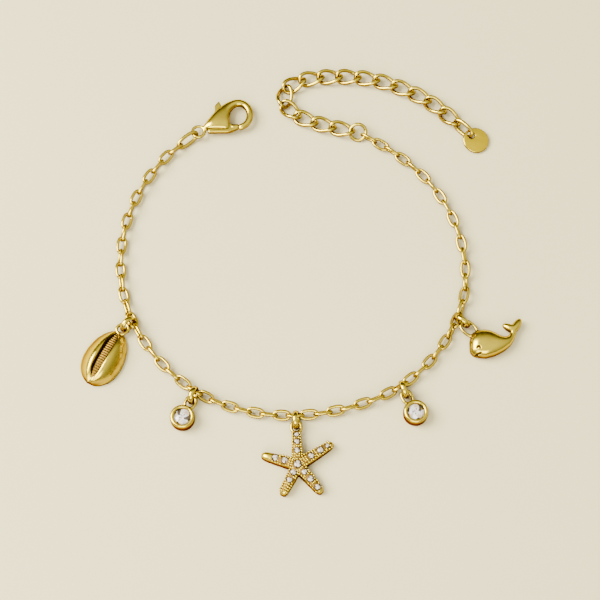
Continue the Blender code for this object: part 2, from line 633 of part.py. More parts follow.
def build_extender(chain, materials, parent):
    """Connecting ring, twisted oval links, oval ring and round end tag."""
    route = Route(EXTENDER_ROUTE, EXTENDER_HEIGHT)
    centre, arriving = chain.route.at(chain.route.length)
    _, leaving = route.at(0.0)
    ring = bmesh.new()
    add_loop(ring, CONNECTING_RING_DIAMETER, CONNECTING_RING_DIAMETER, CONNECTING_RING_WIRE,
             RING_STATIONS, RING_SIDES)
    frame = rolled_frame(centre, (arriving + leaving).normalized(), CONNECTING_RING_ROLL)
    place("connecting_ring", finish_mesh("connecting_ring", ring), materials["ring"], frame, parent)

    link_shape = bmesh.new()
    add_loop(link_shape, EXTENDER_LINK_LENGTH, EXTENDER_LINK_WIDTH, EXTENDER_WIRE, RING_STATIONS,
             RING_SIDES, twist=EXTENDER_TWIST)
    link_mesh = finish_mesh("extender_link", link_shape)
    stride = EXTENDER_LINK_LENGTH - 2 * EXTENDER_WIRE - EXTENDER_GAP
    distance = CONNECTING_RING_DIAMETER / 2 - CONNECTING_RING_WIRE
    for number in range(1, EXTENDER_LINKS + 1):
        start, _ = route.at(distance)
        distance = route.step(distance, stride)
        end, _ = route.at(distance)
        along = (end - start).normalized()
        side = Vector((-along.y, along.x, 0.0))
        place(f"extender_link_{number:02d}", link_mesh, materials["extender"],
              frame_at((start + end) / 2, along, side), parent)

    ring_reach = TAG_RING_LENGTH / 2 - TAG_RING_WIRE
    centre, along = route.at(distance + ring_reach)
    centre.z = ring_height(TAG_RING_WIDTH, TAG_RING_WIRE, TAG_RING_ROLL)
    tag_ring = bmesh.new()
    add_loop(tag_ring, TAG_RING_LENGTH, TAG_RING_WIDTH, TAG_RING_WIRE, RING_STATIONS, RING_SIDES)
    frame = rolled_frame(centre, along, TAG_RING_ROLL)
    place("tag_ring", finish_mesh("tag_ring", tag_ring), materials["ring"], frame, parent)

    tag = bmesh.new()
    add_prism(tag, circle(TAG_DIAMETER / 2, TAG_SIDES), -TAG_THICKNESS / 2, TAG_THICKNESS / 2)
    hole_place = TAG_DIAMETER / 2 - TAG_HOLE_EDGE - TAG_HOLE / 2
    tilt = Matrix.Rotation(math.radians(TAG_TILT), 4, "Y")
    lean = TAG_DIAMETER / 2 * math.sin(math.radians(TAG_TILT))
    height = lean + TAG_THICKNESS / 2 * math.cos(math.radians(TAG_TILT))
    ring_end = centre + (TAG_RING_LENGTH / 2 - TAG_RING_WIRE / 2) * along
    middle = ring_end + hole_place * along
    middle.z = height
    bearing = math.degrees(math.atan2(along.y, along.x))
    tag_item = place("tag", finish_mesh("tag", tag), materials["ring"], level_frame(middle, bearing) @ tilt,
                     parent)
    hole = bmesh.new()
    corners = circle(TAG_HOLE / 2, RING_STATIONS, (-hole_place, 0.0))
    add_prism(hole, corners, -TAG_THICKNESS, TAG_THICKNESS)
    combine(tag_item, hole, "DIFFERENCE")


def charm_places(chain):
    """Frames of each charm's jump ring and of the near wire of its eye."""
    places = {}
    lean = math.radians(JUMP_RING_LEAN)
    upright = Vector((0.0, 0.0, math.cos(lean)))
    height = (JUMP_RING_DIAMETER - JUMP_RING_WIRE) / 2 * math.cos(lean) + JUMP_RING_WIRE / 2
    for name, (share, lies_open, offset, ring_bearing, eye_bearing, _, _) in CHARMS.items():
        hold, _, _ = chain.place_at(chain.nearest(share, lies_open), offset)
        outward = bearing_direction(ring_bearing)
        centre = hold + JUMP_RING_REACH * outward
        centre.z = height
        sideways = math.sin(lean) * outward.cross(Vector((0.0, 0.0, 1.0)))
        eye = centre + EYE_REACH * outward
        eye.z = EYE_HEIGHT
        places[name] = (frame_at(centre, outward, upright + sideways), level_frame(eye, eye_bearing))
    return places


def build_jump_rings(places, material, parent):
    shape = bmesh.new()
    add_loop(shape, JUMP_RING_DIAMETER, JUMP_RING_DIAMETER, JUMP_RING_WIRE, RING_STATIONS, RING_SIDES)
    mesh = finish_mesh("jump_ring", shape)
    for name, (ring_frame, _) in places.items():
        place(f"jump_ring_{name}", mesh, material, ring_frame, parent)


def eye_reach(name):
    """Distance from an eye's near wire to its far wire, centre to centre."""
    return CHARMS[name][5] - EYE_WIRE


def eye_shape(name):
    """Soldered eye loop of a charm, in the charm's frame."""
    length, width = CHARMS[name][5:7]
    shape = bmesh.new()
    frame = Matrix.Translation((eye_reach(name) / 2, 0.0, 0.0))
    add_loop(shape, length, width, EYE_WIRE, RING_STATIONS, RING_SIDES, frame)
    return shape


def build_cowrie(frame, material, parent):
    """Domed shell on a flat back, with a rim round it and a sunken slit between its two lips."""
    rings = []
    for along, width, dome_share, slit_share, depth_share in COWRIE_FORM:
        half_width = COWRIE_WIDTH / 2 * width
        dome = (COWRIE_HEIGHT - COWRIE_RIM) * dome_share
        left, right = (
            [(across * half_width, COWRIE_RIM + dome * share) for across, share in lip]
            for lip in (COWRIE_LEFT_LIP, COWRIE_RIGHT_LIP)
        )
        slit = COWRIE_SLIT_WIDTH / 2 * slit_share
        edge = COWRIE_RIM + dome * COWRIE_SLIT_EDGE
        floor = max(edge - COWRIE_SLIT_DEPTH * depth_share, COWRIE_RIM)
        floor_slit = COWRIE_SLIT_TAPER * slit
        sunk = [(-slit, edge), (-floor_slit, floor), (floor_slit, floor), (slit, edge)]
        section = left + sunk + right + [(half_width, 0.0), (-half_width, 0.0)]
        rings.append([Vector((along * COWRIE_LENGTH, y, z)) for y, z in reversed(section)])
    shape = bmesh.new()
    add_loft(shape, rings)
    tip = Vector((eye_reach("cowrie") - EYE_WIRE / 2, 0.0, -EYE_HEIGHT))
    turn = Matrix.Translation(tip) @ Matrix.Rotation(math.radians(COWRIE_TURN), 4, "Z")
    bmesh.ops.transform(shape, matrix=turn, verts=shape.verts)
    shell = place("cowrie", finish_mesh("cowrie", shape), material, frame, parent)
    combine(shell, eye_shape("cowrie"), "UNION")


def bezel_distance(name):
    """Distance from an eye's near wire to the middle of its bezel cup."""
    return eye_reach(name) - EYE_WIRE / 4 + BEZEL_DIAMETER / 2


def build_bezel(side, frame, materials, parent):
    """Cup with a folded rim, and the cut stone that sits in it."""
    name = f"bezel_{side}"
    radius = BEZEL_DIAMETER / 2
    seat = STONE_DIAMETER / 2 + SETTING_GAP
    girdle = STONE_GIRDLE_HEIGHT
    crown = girdle + STONE_GIRDLE
    lip = STONE_DIAMETER / 2 - BEZEL_GRIP
    culet = girdle - STONE_PAVILION
    rim = [(radius - BEZEL_RIM * x, BEZEL_HEIGHT - BEZEL_RIM * z) for x, z in BEZEL_RIM_FORM]
    profile = [(0.0, 0.0), (radius - BEZEL_FOOT, 0.0), (radius, BEZEL_FOOT)] + rim + [
        (lip, BEZEL_HEIGHT - BEZEL_RIM / 3), (lip, crown + BEZEL_RIM / 2),
        (seat, crown + 2 * SETTING_GAP), (seat, girdle - SETTING_GAP), (BEZEL_WELL / 2, culet),
        (BEZEL_WELL / 2, BEZEL_BACK), (0.0, BEZEL_BACK),
    ]
    cup = bmesh.new()
    add_turned(cup, profile, TURNED_SIDES)
    middle = Vector((bezel_distance(name), 0.0, -EYE_HEIGHT))
    bmesh.ops.translate(cup, vec=middle, verts=cup.verts)
    item = place(name, finish_mesh(name, cup), materials["charm"], frame, parent)
    combine(item, eye_shape(name), "UNION")

    stone = bmesh.new()
    stone_radius = STONE_DIAMETER / 2
    stone_profile = [
        (0.0, culet + 2 * SETTING_GAP), (stone_radius, girdle), (stone_radius, crown),
        (STONE_TABLE * stone_radius, crown + STONE_CROWN), (0.0, crown + STONE_CROWN),
    ]
    add_turned(stone, stone_profile, TURNED_SIDES)
    stone_frame = frame @ Matrix.Translation(middle)
    place(f"stone_{side}", finish_mesh(f"stone_{side}", stone), materials["stone"], stone_frame, parent)


def star_arm_size(share):
    """Half width and height of an arm at a share of its length."""
    half_width = STAR_HALF_WIDTH + (STAR_TIP_HALF_WIDTH - STAR_HALF_WIDTH) * share ** STAR_ARM_TAPER
    return half_width, STAR_HEIGHT + (STAR_TIP_HEIGHT - STAR_HEIGHT) * share


def star_arm(bearing, length):
    """One arm with a flat back, rounded top and round tip, from inside the hub."""
    turn = Matrix.Rotation(math.radians(bearing), 3, "Z")
    rings = []
    for along, fullness in STAR_ARM_FORM:
        half_width, height = star_arm_size(along)
        wide = half_width * fullness
        tall = height * (1.0 - STAR_TIP_FALL * (1.0 - fullness))
        rings.append([turn @ Vector((along * length, y * wide, z * tall)) for y, z in STAR_ARM_SECTION])
    shape = bmesh.new()
    add_loft(shape, rings)
    return shape


def build_starfish(frame, material, parent):
    """Five arms soldered to a hub, with the small stones fused to them."""
    eye_arm = STAR_ARM * STAR_ARMS[0][1]
    middle = Vector((eye_reach("starfish") - EYE_WIRE / 2 + eye_arm, 0.0, -EYE_HEIGHT))
    hub = bmesh.new()
    rings = []
    for width, height in STAR_HUB_FORM:
        corners = circle(STAR_HUB * width, RING_STATIONS)
        rings.append([middle + Vector((x, y, STAR_HEIGHT * height)) for x, y in corners])
    add_loft(hub, rings)
    star = place("starfish", finish_mesh("starfish", hub), material, frame, parent)
    for bearing, share in STAR_ARMS:
        arm = star_arm(bearing + 180.0, STAR_ARM * share)
        bmesh.ops.translate(arm, vec=middle, verts=arm.verts)
        combine(star, arm, "UNION")
    combine(star, eye_shape("starfish"), "UNION")
    stones = bmesh.new()
    for arm, share, diameter in STAR_STONES:
        bearing, arm_share = STAR_ARMS[arm]
        spot = middle + STAR_ARM * arm_share * share * bearing_direction(bearing + 180.0)
        top = star_arm_size(share)[1] - EYE_HEIGHT
        radius = diameter / 2
        levels = [(radius, top - STAR_STONE_ROOT), (radius, top + STAR_STONE_GIRDLE),
                  (STAR_STONE_TABLE * radius, top + STAR_STONE_STAND)]
        rings = []
        for width, height in levels:
            corners = circle(width, STAR_STONE_SIDES, spot.xy)
            rings.append([Vector((x, y, height)) for x, y in corners])
        add_loft(stones, rings)
    combine(star, stones, "UNION")


def whale_rings(spine, half_widths, rises):
    """Oval sections square to a level spine, flatter on the back than on the front."""
    rings = []
    for index, centre in enumerate(spine):
        ahead = spine[min(index + 1, len(spine) - 1)]
        behind = spine[max(index - 1, 0)]
        along = (ahead - behind).normalized()
        square = Vector((-along.y, along.x, 0.0))
        ring = []
        for side in range(WHALE_SIDES):
            angle = math.tau * side / WHALE_SIDES
            lift = rises[index] * math.sin(angle)
            if lift < 0.0:
                lift *= WHALE_BACK
            across = half_widths[index] * math.cos(angle)
            ring.append(centre + across * square + Vector((0.0, 0.0, lift)))
        rings.append(ring)
    return rings


def build_whale(frame, material, parent):
    """Domed body with a raised tail and two flukes, in one solid with its eye loop."""
    rise = WHALE_THICKNESS / (1.0 + WHALE_BACK)
    height = WHALE_BACK * rise
    nose = Vector((*WHALE_EYE, 0.0)) * -WHALE_LENGTH
    turn = Matrix.Rotation(math.radians(WHALE_TURN), 4, "Z") @ Matrix.Translation(nose)
    turn.translation.z = -EYE_HEIGHT

    spine = [Vector((WHALE_LENGTH * row[0], WHALE_LENGTH * row[1], height)) for row in WHALE_BODY]
    half_widths = [WHALE_BELLY * row[2] for row in WHALE_BODY]
    rises = [rise * row[2] ** WHALE_ROUNDNESS for row in WHALE_BODY]
    body_shape = bmesh.new()
    add_loft(body_shape, whale_rings(spine, half_widths, rises))
    bmesh.ops.transform(body_shape, matrix=turn, verts=body_shape.verts)
    whale = place("whale", finish_mesh("whale", body_shape), material, frame, parent)
    for root, tip in WHALE_FLUKES:
        start = WHALE_LENGTH * Vector((*root, 0.0))
        end = WHALE_LENGTH * Vector((*tip, 0.0))
        start.z = end.z = height
        spine = [start.lerp(end, share) for share, _ in WHALE_FLUKE_FORM]
        half_widths = [WHALE_FLUKE_HALF_WIDTH * width for _, width in WHALE_FLUKE_FORM]
        rises = [WHALE_FLUKE_RISE * width for _, width in WHALE_FLUKE_FORM]
        fluke = bmesh.new()
        add_loft(fluke, whale_rings(spine, half_widths, rises))
        bmesh.ops.transform(fluke, matrix=turn, verts=fluke.verts)
        combine(whale, fluke, "UNION")
    combine(whale, eye_shape("whale"), "UNION")


def main():
    for item in list(bpy.data.objects):
        bpy.data.objects.remove(item)
    materials = {
        "chain": make_material("chain_gold", (0.86, 0.62, 0.24), 1.0, 0.22),
        "clasp": make_material("clasp_gold", (0.88, 0.64, 0.25), 1.0, 0.14),
        "ring": make_material("ring_gold", (0.87, 0.63, 0.25), 1.0, 0.18),
        "extender": make_material("extender_gold", (0.85, 0.61, 0.23), 1.0, 0.20),
        "charm": make_material("charm_gold", (0.88, 0.65, 0.27), 1.0, 0.20),
        "stone": make_material("clear_stone", (0.93, 0.95, 0.97), 0.0, 0.04),
    }
    parent = place("bracelet", None, frame=Matrix.Translation((-MIDDLE[0], -MIDDLE[1], 0.0)))
    chain = FineChain()
    build_chain(chain, materials["chain"], parent)
    build_clasp_link(chain, materials["ring"], parent)
    build_clasp(chain, materials["clasp"], parent)
    build_extender(chain, materials, parent)
    places = charm_places(chain)
    build_jump_rings(places, materials["ring"], parent)
    build_cowrie(places["cowrie"][1], materials["charm"], parent)
    build_bezel("left", places["bezel_left"][1], materials, parent)
    build_starfish(places["starfish"][1], materials["charm"], parent)
    build_bezel("right", places["bezel_right"][1], materials, parent)
    build_whale(places["whale"][1], materials["charm"], parent)


main()
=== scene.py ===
"""Polished gold-coloured charm bracelet: the visible pieces, the pale surface, light and camera.

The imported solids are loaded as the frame, and each finished piece is built in their place. Shapes
are made in millimetres and scaled to metres by MM when they are placed.
"""
import math
import random

import bmesh
import bpy
import numpy as np
from bpy.props import FloatProperty, FloatVectorProperty, PointerProperty
from mathutils import Matrix, Vector


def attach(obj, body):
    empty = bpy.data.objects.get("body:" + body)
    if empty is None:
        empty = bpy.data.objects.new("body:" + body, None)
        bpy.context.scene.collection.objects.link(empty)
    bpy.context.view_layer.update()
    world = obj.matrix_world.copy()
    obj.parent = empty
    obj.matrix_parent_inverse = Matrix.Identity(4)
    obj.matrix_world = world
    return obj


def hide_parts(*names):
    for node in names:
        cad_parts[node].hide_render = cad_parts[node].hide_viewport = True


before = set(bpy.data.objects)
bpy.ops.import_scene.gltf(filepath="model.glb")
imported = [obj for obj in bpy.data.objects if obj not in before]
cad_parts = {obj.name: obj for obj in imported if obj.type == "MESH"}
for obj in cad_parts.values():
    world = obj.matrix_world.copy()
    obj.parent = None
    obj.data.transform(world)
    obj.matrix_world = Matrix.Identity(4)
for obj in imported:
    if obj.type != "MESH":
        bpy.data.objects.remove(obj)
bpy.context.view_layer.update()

bl_info = {
    "name": "Charm bracelet",
    "version": (1, 0, 0),
    "blender": (4, 5, 0),
    "location": "3D View > Sidebar > Bracelet",
    "description": "Builds the chain, clasp, extender, charms, surface, lights and camera",
    "category": "Add Mesh",
}

MM = 0.001
UP = Vector((0.0, 0.0, 1.0))
ROOT = "bracelet"
LEVER = "clasp_lever"

# Middle of the bracelet's outer box in the coordinates of the two routes
MIDDLE = (0.095, 0.005)

# Route of the fine chain, from the clasp's eye to the connecting ring, as the solids have it
CHAIN_HEIGHT = 0.93
CHAIN_ROUTE = [
    (-18.1, 26.2), (-23.6, 21.4), (-27.7, 15.2), (-30.1, 8.1), (-30.6, 0.7), (-29.2, -6.7),
    (-25.8, -13.3), (-20.8, -18.9), (-14.6, -23.0), (-7.4, -25.2), (0.0, -25.6), (7.4, -24.4),
    (14.4, -21.7), (20.3, -17.2), (24.7, -11.2), (27.3, -4.2), (27.4, 3.3), (25.5, 10.5),
    (21.7, 16.9), (16.3, 22.1), (9.9, 26.3),
]
# How far the links are drawn apart: share along the chain, pitch relative to the mean
CHAIN_DRAW = [
    (0.0, 1.005), (0.24, 1.005), (0.26, 1.035), (0.345, 1.035), (0.365, 0.93), (0.475, 0.93),
    (0.495, 0.99), (0.605, 0.99), (0.62, 0.95), (0.72, 0.95), (0.74, 1.037), (1.0, 1.037),
]
# How the open links roll, outer side up: share along the chain, roll in degrees
CHAIN_ROLL = [(0.0, 36.0), (0.10, 20.0), (0.26, 25.0), (0.36, -25.0), (0.62, -25.0), (0.72, 25.0),
              (1.0, 12.0)]
CHAIN_LINK = (2.93, 1.90, 0.36)
CHAIN_SOLDER = 0.10
CHAIN_SPLIT = 0.515
RUNNING_GAP = 0.07

# Ovals and rings: length, width and wire over the outside, and roll in degrees
CLASP_LINK = (4.1, 2.3, 0.42)
CLASP_LINK_ROLL = 58.0
CONNECTING_RING = (3.4, 3.4, 0.5)
CONNECTING_RING_ROLL = -26.0
TAG_RING = (4.1, 2.5, 0.46)
TAG_RING_ROLL = 56.0
JUMP_RING = (3.15, 3.15, 0.5)
JUMP_RING_LEAN = 8.0
JUMP_RING_BREADTH = 1.5
JUMP_RING_REACH = 1.0
EYE_REACH = 0.2
EYE_WIRE = 0.42
EYE_HEIGHT = 1.0
# The visible wire is this much thicker than the solids', and leaves the room inside as it is
CHAIN_SWELL = 0.17
LINK_SWELL = 0.20
RING_SWELL = 0.09
EYE_SWELL = 0.12

# Extender of twisted oval links
EXTENDER_LINKS = 15
EXTENDER_LINK = (4.42, 3.05, 0.44)
EXTENDER_TWIST = -46.0
EXTENDER_HEIGHT = 0.92
EXTENDER_GAP = 0.20
EXTENDER_ROUTE = [
    (9.9, 26.3), (6.6, 27.0), (3.2, 27.9), (0.0, 29.0), (-2.7, 31.1), (-3.6, 33.6), (-2.1, 35.8),
    (0.9, 37.1), (4.5, 37.5), (8.2, 37.5), (11.7, 37.2), (15.0, 36.3), (18.2, 35.0), (21.2, 33.4),
    (24.0, 31.4), (26.5, 28.9),
]

# End tag
TAG_DIAMETER = 4.6
TAG_THICKNESS = 0.5
TAG_HOLE = 1.3
TAG_HOLE_EDGE = 0.42
TAG_TILT = 11.0
TAG_SIDES = 96
TAG_HOLE_SIDES = 48
TAG_RIM_SEGMENTS = 4
# Faces of the tag that point up or down by at least this share are satin, and its rim is polished
TAG_FLAT = 0.98

# Charms: share of the chain's links, whether that link lies open, offset along the link in mm,
# bearing of the jump ring and of the eye in degrees from +X, length and width of the eye in mm
CHARMS = {
    "cowrie": (0.242, True, 0.35, 226.0, 214.0, 2.25, 2.0),
    "bezel_left": (0.355, False, 0.20, 251.0, 245.0, 2.3, 1.9),
    "starfish": (0.484, False, 0.20, 269.0, 272.0, 2.06, 1.9),
    "bezel_right": (0.613, False, 0.30, 289.0, 296.0, 2.5, 1.9),
    "whale": (0.726, True, 0.20, 322.0, 314.0, 3.2, 2.3),
}

# Bezel cups and their round cut stones
BEZEL_DIAMETER = 4.05
# Cup from the middle of the back over the rim to the floor: radius and height in mm
BEZEL_PROFILE = [
    (0.0, 0.0), (1.45, 0.0), (1.72, 0.03), (1.91, 0.14), (2.01, 0.32), (2.025, 0.6), (2.025, 1.55),
    (1.995, 1.79), (1.91, 1.96), (1.77, 2.07), (1.62, 2.1), (1.48, 2.05), (1.38, 1.93), (1.33, 1.78),
    (1.34, 1.62), (1.45, 1.5), (1.45, 1.3), (0.5, 0.55), (0.0, 0.5),
]
BEZEL_SIDES = 72
STONE_DIAMETER = 2.80
STONE_GIRDLE_HEIGHT = 1.46
STONE_PAVILION = 0.75
STONE_TURN = 0.2
# A cut stone's proportions, as shares of its radius: table, middle of the crown and girdle's height
BRILLIANT_TABLE = 0.46
BRILLIANT_MIDDLE = 0.75
BRILLIANT_GIRDLE = 0.06
# Height of the crown's middle as a share of the crown; radius and depth of the lower facets' corners
BRILLIANT_MIDDLE_RISE = 0.58
BRILLIANT_LOWER = (0.42, 0.60)

# Starfish: half width and height of an arm at its root and its tip
STAR_ARM = 6.1
STAR_ROOT = (0.97, 1.9)
STAR_TIP = (0.70, 1.5)
STAR_ARM_TAPER = 1.2
STAR_ARMS = [(0.0, 0.94), (71.0, 0.99), (151.0, 0.89), (219.0, 0.97), (301.0, 1.11)]
STAR_ARM_FORM = [(0.0, 1.0), (0.30, 1.0), (0.60, 0.99), (0.84, 0.95), (0.93, 0.82), (0.98, 0.60),
                 (1.0, 0.35)]
STAR_STONES = [
    (0, 0.0, 1.3), (0, 0.40, 1.0), (0, 0.66, 0.95), (0, 0.87, 0.8), (1, 0.36, 1.1), (1, 0.62, 1.1),
    (2, 0.27, 1.05), (2, 0.52, 1.0), (3, 0.28, 1.0), (3, 0.53, 1.1), (3, 0.82, 1.0), (4, 0.38, 1.0),
    (4, 0.64, 1.1), (4, 0.84, 0.75),
]

# An arm's section: how square its sides and its top are, and the share of its height at which its
# top begins to round off
STAR_SQUARENESS = (0.7, 0.8)
STAR_SHOULDER = 0.4
# A small stone's proportions, as shares of its diameter: radius, crown and pavilion
STAR_STONE_FORM = (0.43, 0.16, 0.4)
STAR_STONE_SINK = 0.02
STAR_STONE_TURN = 0.7
# Dark seat round a small stone, painted as shade: its margin and its depth
STAR_SEAT_MARGIN = 0.05
STAR_SEAT_DEPTH = 0.2
STAR_SEAT_SIDES = 20
# Share of an arm's width and height that the mount of its stones takes up, painted darker as shade,
# and of each arm's length
STAR_SETTING = 0.78
STAR_SETTING_HEIGHT = 0.8
STAR_SETTING_ENDS = (0.97, 0.72, 0.90, 0.92, 0.94)
# Share of an arm's height by which its top falls towards its sides
STAR_FALL = 0.14
# Grains: rows on each side of the middle, how far they stray as a share of their pitch, and least
# and greatest size
GRAIN_SEED = 5
GRAIN_ROWS = 2
GRAIN_DRIFT = 0.16
GRAIN_SIZES = (0.85, 1.15)
# Clearance from a stone and depth in the arm's top, as shares of a grain's radius
GRAIN_CLEARANCE = 0.7
GRAIN_SINK = 0.3

# Cowrie shell
COWRIE_LENGTH = 10.0
COWRIE_WIDTH = 6.75
COWRIE_HEIGHT = 2.8
COWRIE_RIM = 0.55
COWRIE_TURN = 30.0
COWRIE_SLIT_WIDTH = 1.55
# Share of the length from the tip, then shares of the width, of the dome above the rim, and of the
# slit's width and depth
COWRIE_FORM = [
    (0.0, 0.16, 0.20, 0.12, 0.0), (0.04, 0.36, 0.33, 0.21, 0.25), (0.12, 0.6, 0.54, 0.61, 0.73),
    (0.24, 0.81, 0.77, 1.0, 1.0), (0.38, 0.94, 0.93, 1.0, 1.0), (0.52, 1.0, 1.0, 1.0, 1.0),
    (0.66, 0.98, 0.97, 1.0, 1.0), (0.78, 0.88, 0.85, 0.89, 1.0), (0.88, 0.7, 0.68, 0.42, 0.5),
    (0.95, 0.48, 0.51, 0.12, 0.07), (1.0, 0.2, 0.34, 0.12, 0.0),
]
# Each lip across: place as a share of the half width, height as a share of the dome
COWRIE_LEFT_LIP = [(-1.0, 0.0), (-0.965, 0.05), (-0.92, 0.15), (-0.83, 0.36), (-0.71, 0.59),
                   (-0.58, 0.79), (-0.46, 0.93), (-0.34, 1.0), (-0.25, 0.97)]
COWRIE_RIGHT_LIP = [(0.22, 0.95), (0.31, 1.0), (0.43, 0.96), (0.56, 0.83), (0.69, 0.63), (0.81, 0.40),
                    (0.91, 0.17), (0.965, 0.05), (1.0, 0.0)]
COWRIE_SLIT_EDGE = 0.88
# Floor of the slit across, from its left to its right edge: place, depth as a share
COWRIE_FLOOR = [(0.0, 0.7), (0.05, 0.8), (0.10, 0.5), (0.18, 0.30), (0.60, 0.22), (0.90, 0.26),
                (1.0, 0.34)]
# Share of the floor's width that the groove painted dark as shade takes up, and where the teeth start
# and end
COWRIE_GROOVE = 0.07
COWRIE_TEETH = (0.18, 0.97)
# The floor's edges stand in from the slit's by this share, so that the lips overhang it
COWRIE_FLOOR_WIDTH = 0.96
# Least half width of the slit, and the least breadth of the ledge between it and either lip
COWRIE_LEAST_SLIT = 0.02
COWRIE_LEDGE = 0.1
# As shares of the rim: lowest floor and top of the outer edge. Then how far the back stands in.
COWRIE_LOWEST_FLOOR = 0.6
COWRIE_EDGE = 0.75
COWRIE_BACK_INSET = 0.05
# The slit is painted darker as shade where it is at least this deep, and dark where a tooth is lower
# than this
COWRIE_PAINTED_SHADE_FROM = 0.2
COWRIE_GAP_PAINTED_SHADE = 0.15

# Whale
WHALE_LENGTH = 8.85
WHALE_THICKNESS = 3.0
WHALE_BELLY = 2.48
WHALE_TURN = 46.0
WHALE_BACK = 0.5
WHALE_EYE = (-0.095, 0.470)
# Share of the length along, share of the length to the side, half depth as a share of WHALE_BELLY
WHALE_BODY = [
    (0.010, 0.00, 0.34), (0.045, 0.00, 0.62), (0.10, 0.005, 0.80), (0.195, 0.03, 0.96),
    (0.32, 0.05, 0.99), (0.46, 0.048, 0.86), (0.60, 0.058, 0.60), (0.73, 0.105, 0.36),
    (0.81, 0.195, 0.225), (0.85, 0.29, 0.19), (0.86, 0.365, 0.17),
]
WHALE_FLUKES = [((0.885, 0.315), (0.650, 0.434)), ((0.838, 0.300), (0.995, 0.553))]
WHALE_FLUKE_FORM = [(0.0, 0.70), (0.25, 1.0), (0.55, 1.0), (0.80, 0.76), (0.94, 0.45), (1.0, 0.18)]
WHALE_FLUKE = 0.66
# Engraved lines of the face: shares of the length along and to the side
WHALE_FACE = [
    [(0.135, -0.075), (0.150, -0.050), (0.162, -0.043), (0.175, -0.052), (0.190, -0.078)],
    [(0.105, -0.200), (0.135, -0.186), (0.165, -0.178), (0.200, -0.170)],
    [(0.145, -0.215), (0.165, -0.224), (0.190, -0.235)],
]
WHALE_FACE_WIDTH = 0.36
WHALE_FACE_DEPTH = 0.2
WHALE_FACE_LEVEL = 0.4
# Share of a line's half width that is painted dark as shade
WHALE_FACE_PAINTED_SHADE = 0.95

# Lobster clasp. In its tables the eye's centre is the origin, the first column runs towards the
# hook as a share of the first length and the second across as a share of the second.
CLASP_BEARING = 1.0
CLASP_SPAN = (7.05, 6.0)
CLASP_THICKNESS = 2.5
CLASP_EYE_HOLE = 0.84
CLASP_EYE = (2.72, 2.72, 0.6)
CLASP_BODY = [
    (0.142, 0.053), (0.750, 0.018), (0.792, 0.065), (0.797, 0.260), (0.783, 0.450), (0.795, 0.617),
    (0.851, 0.750), (0.936, 0.860), (0.880, 1.010), (0.766, 0.975), (0.631, 0.883), (0.421, 0.658),
    (0.170, 0.260), (0.128, 0.170),
]
CLASP_SLOT = 1.0
CLASP_SLOT_AREA = [
    (0.213, -0.20), (0.880, -0.20), (0.880, 0.52), (0.709, 0.60), (0.638, 0.76), (0.585, 1.05),
    (0.043, 0.83), (0.170, 0.35), (0.213, 0.17),
]
HOOK_MIDDLE = 0.525
HOOK_REACH = (1.95, 2.37)
HOOK_START = 152.0
HOOK_END = -92.0
# Where the lever's tip comes to the hook
HOOK_GATE = -84.0
HOOK_ROOT = 1.8
HOOK_TIP = 1.15
HOOK_INNER = 0.56
HOOK_TAPER = 0.7
HOOK_STATIONS = 48
LEVER_THICKNESS = 0.8
LEVER_TIP_GAP = 0.15
LEVER_ROUNDING_STEPS = 3
LEVER_PIVOT = (0.503, 0.292)
LEVER_OUTLINE = [
    (0.248, -0.050), (0.738, -0.053), (0.851, 0.013), (0.960, 0.050), (1.0, 0.103), (1.0, 0.180),
    (0.851, 0.175), (0.752, 0.225), (0.674, 0.433), (0.600, 0.617), (0.594, 0.790), (0.508, 0.990),
    (0.402, 0.840), (0.408, 0.667), (0.390, 0.433), (0.277, 0.192), (0.241, 0.050),
]
# The lever's round end: share of its radius and place along it in mm, from its root
GATE_PROFILE = [(0.0, 0.0), (0.8, 0.0), (1.0, 0.1), (1.0, 1.05), (0.8, 1.2), (0.0, 1.2)]
# How far that root lies behind the lever's tip and below the tip's middle, and its tilt in radians
GATE_ROOT = (1.25, 0.06)
GATE_TILT = 0.06
GATE_SIDES = 32

# Finishes of the gold, two of them painted shade: name of its colour, roughness, and strength of its
# hairline wear
FINISHES = {
    "chain_gold_polish": ("chain", 0.15, 0.05),
    "clasp_gold_polish": ("polished", 0.17, 0.05),
    "ring_gold_polish": ("polished", 0.12, 0.05),
    "extender_gold_polish": ("polished", 0.13, 0.05),
    "charm_gold_polish": ("polished", 0.20, 0.05),
    "tag_gold_satin": ("satin", 0.32, 0.03),
    "recessed_gold": ("recess", 0.4, 0.05),
    "setting_gold": ("setting", 0.5, 0.05),
}
# Finishes of a charm's faces: polished, the deepest recesses painted dark as shade, and the stones'
# mounts and the slit floor painted darker as shade
CHARM_FINISHES = ("charm_gold_polish", "recessed_gold", "setting_gold")
POLISHED, RECESSED_PAINTED_SHADE, SETTING_PAINTED_SHADE = range(3)
# How far tone and gloss vary over the gold, then the size of each pattern in features to the metre
GOLD_TONES = (0.90, 1.05)
GOLD_GLOSS = (0.75, 1.3)
TONE_SCALE = 450.0
GLOSS_SCALE = 1700.0
WEAR_SCALE = 5200.0
WEAR_STRETCH = (1.0, 5.0, 1.0)
WEAR_DEPTH = 0.02

# Cut stone: painted glow, a faint light of its own in place of the light it returns from within, and
# optical index
STONE_PAINTED_GLOW = 0.14
STONE_INDEX = 2.1
# Painted sparkle, a play of tone in its facets: darkest share, where on the noise it turns, and
# features to the metre
STONE_PAINTED_DIMMING = 0.72
STONE_EDGES = (0.42, 0.55)
STONE_SCALE = 3000.0
STONE_GLOSS = (0.02, 0.06)

# Painted light of a cut stone's table, star, kite and upper facets and of those below, in turn round
# the
# stone: 0 is bright as painted highlight, 1 warm as painted reflection and 2 dim as painted shade
FACET_PAINTED_TONES = ((0, 0, 1, 0, 2), (0, 2, 0, 0), (1, 0, 0, 2), (0, 2, 0, 1), (1, 0, 2), (0, 0, 2, 0, 1),
               (0, 2, 2), (2,), (2,), (1,))

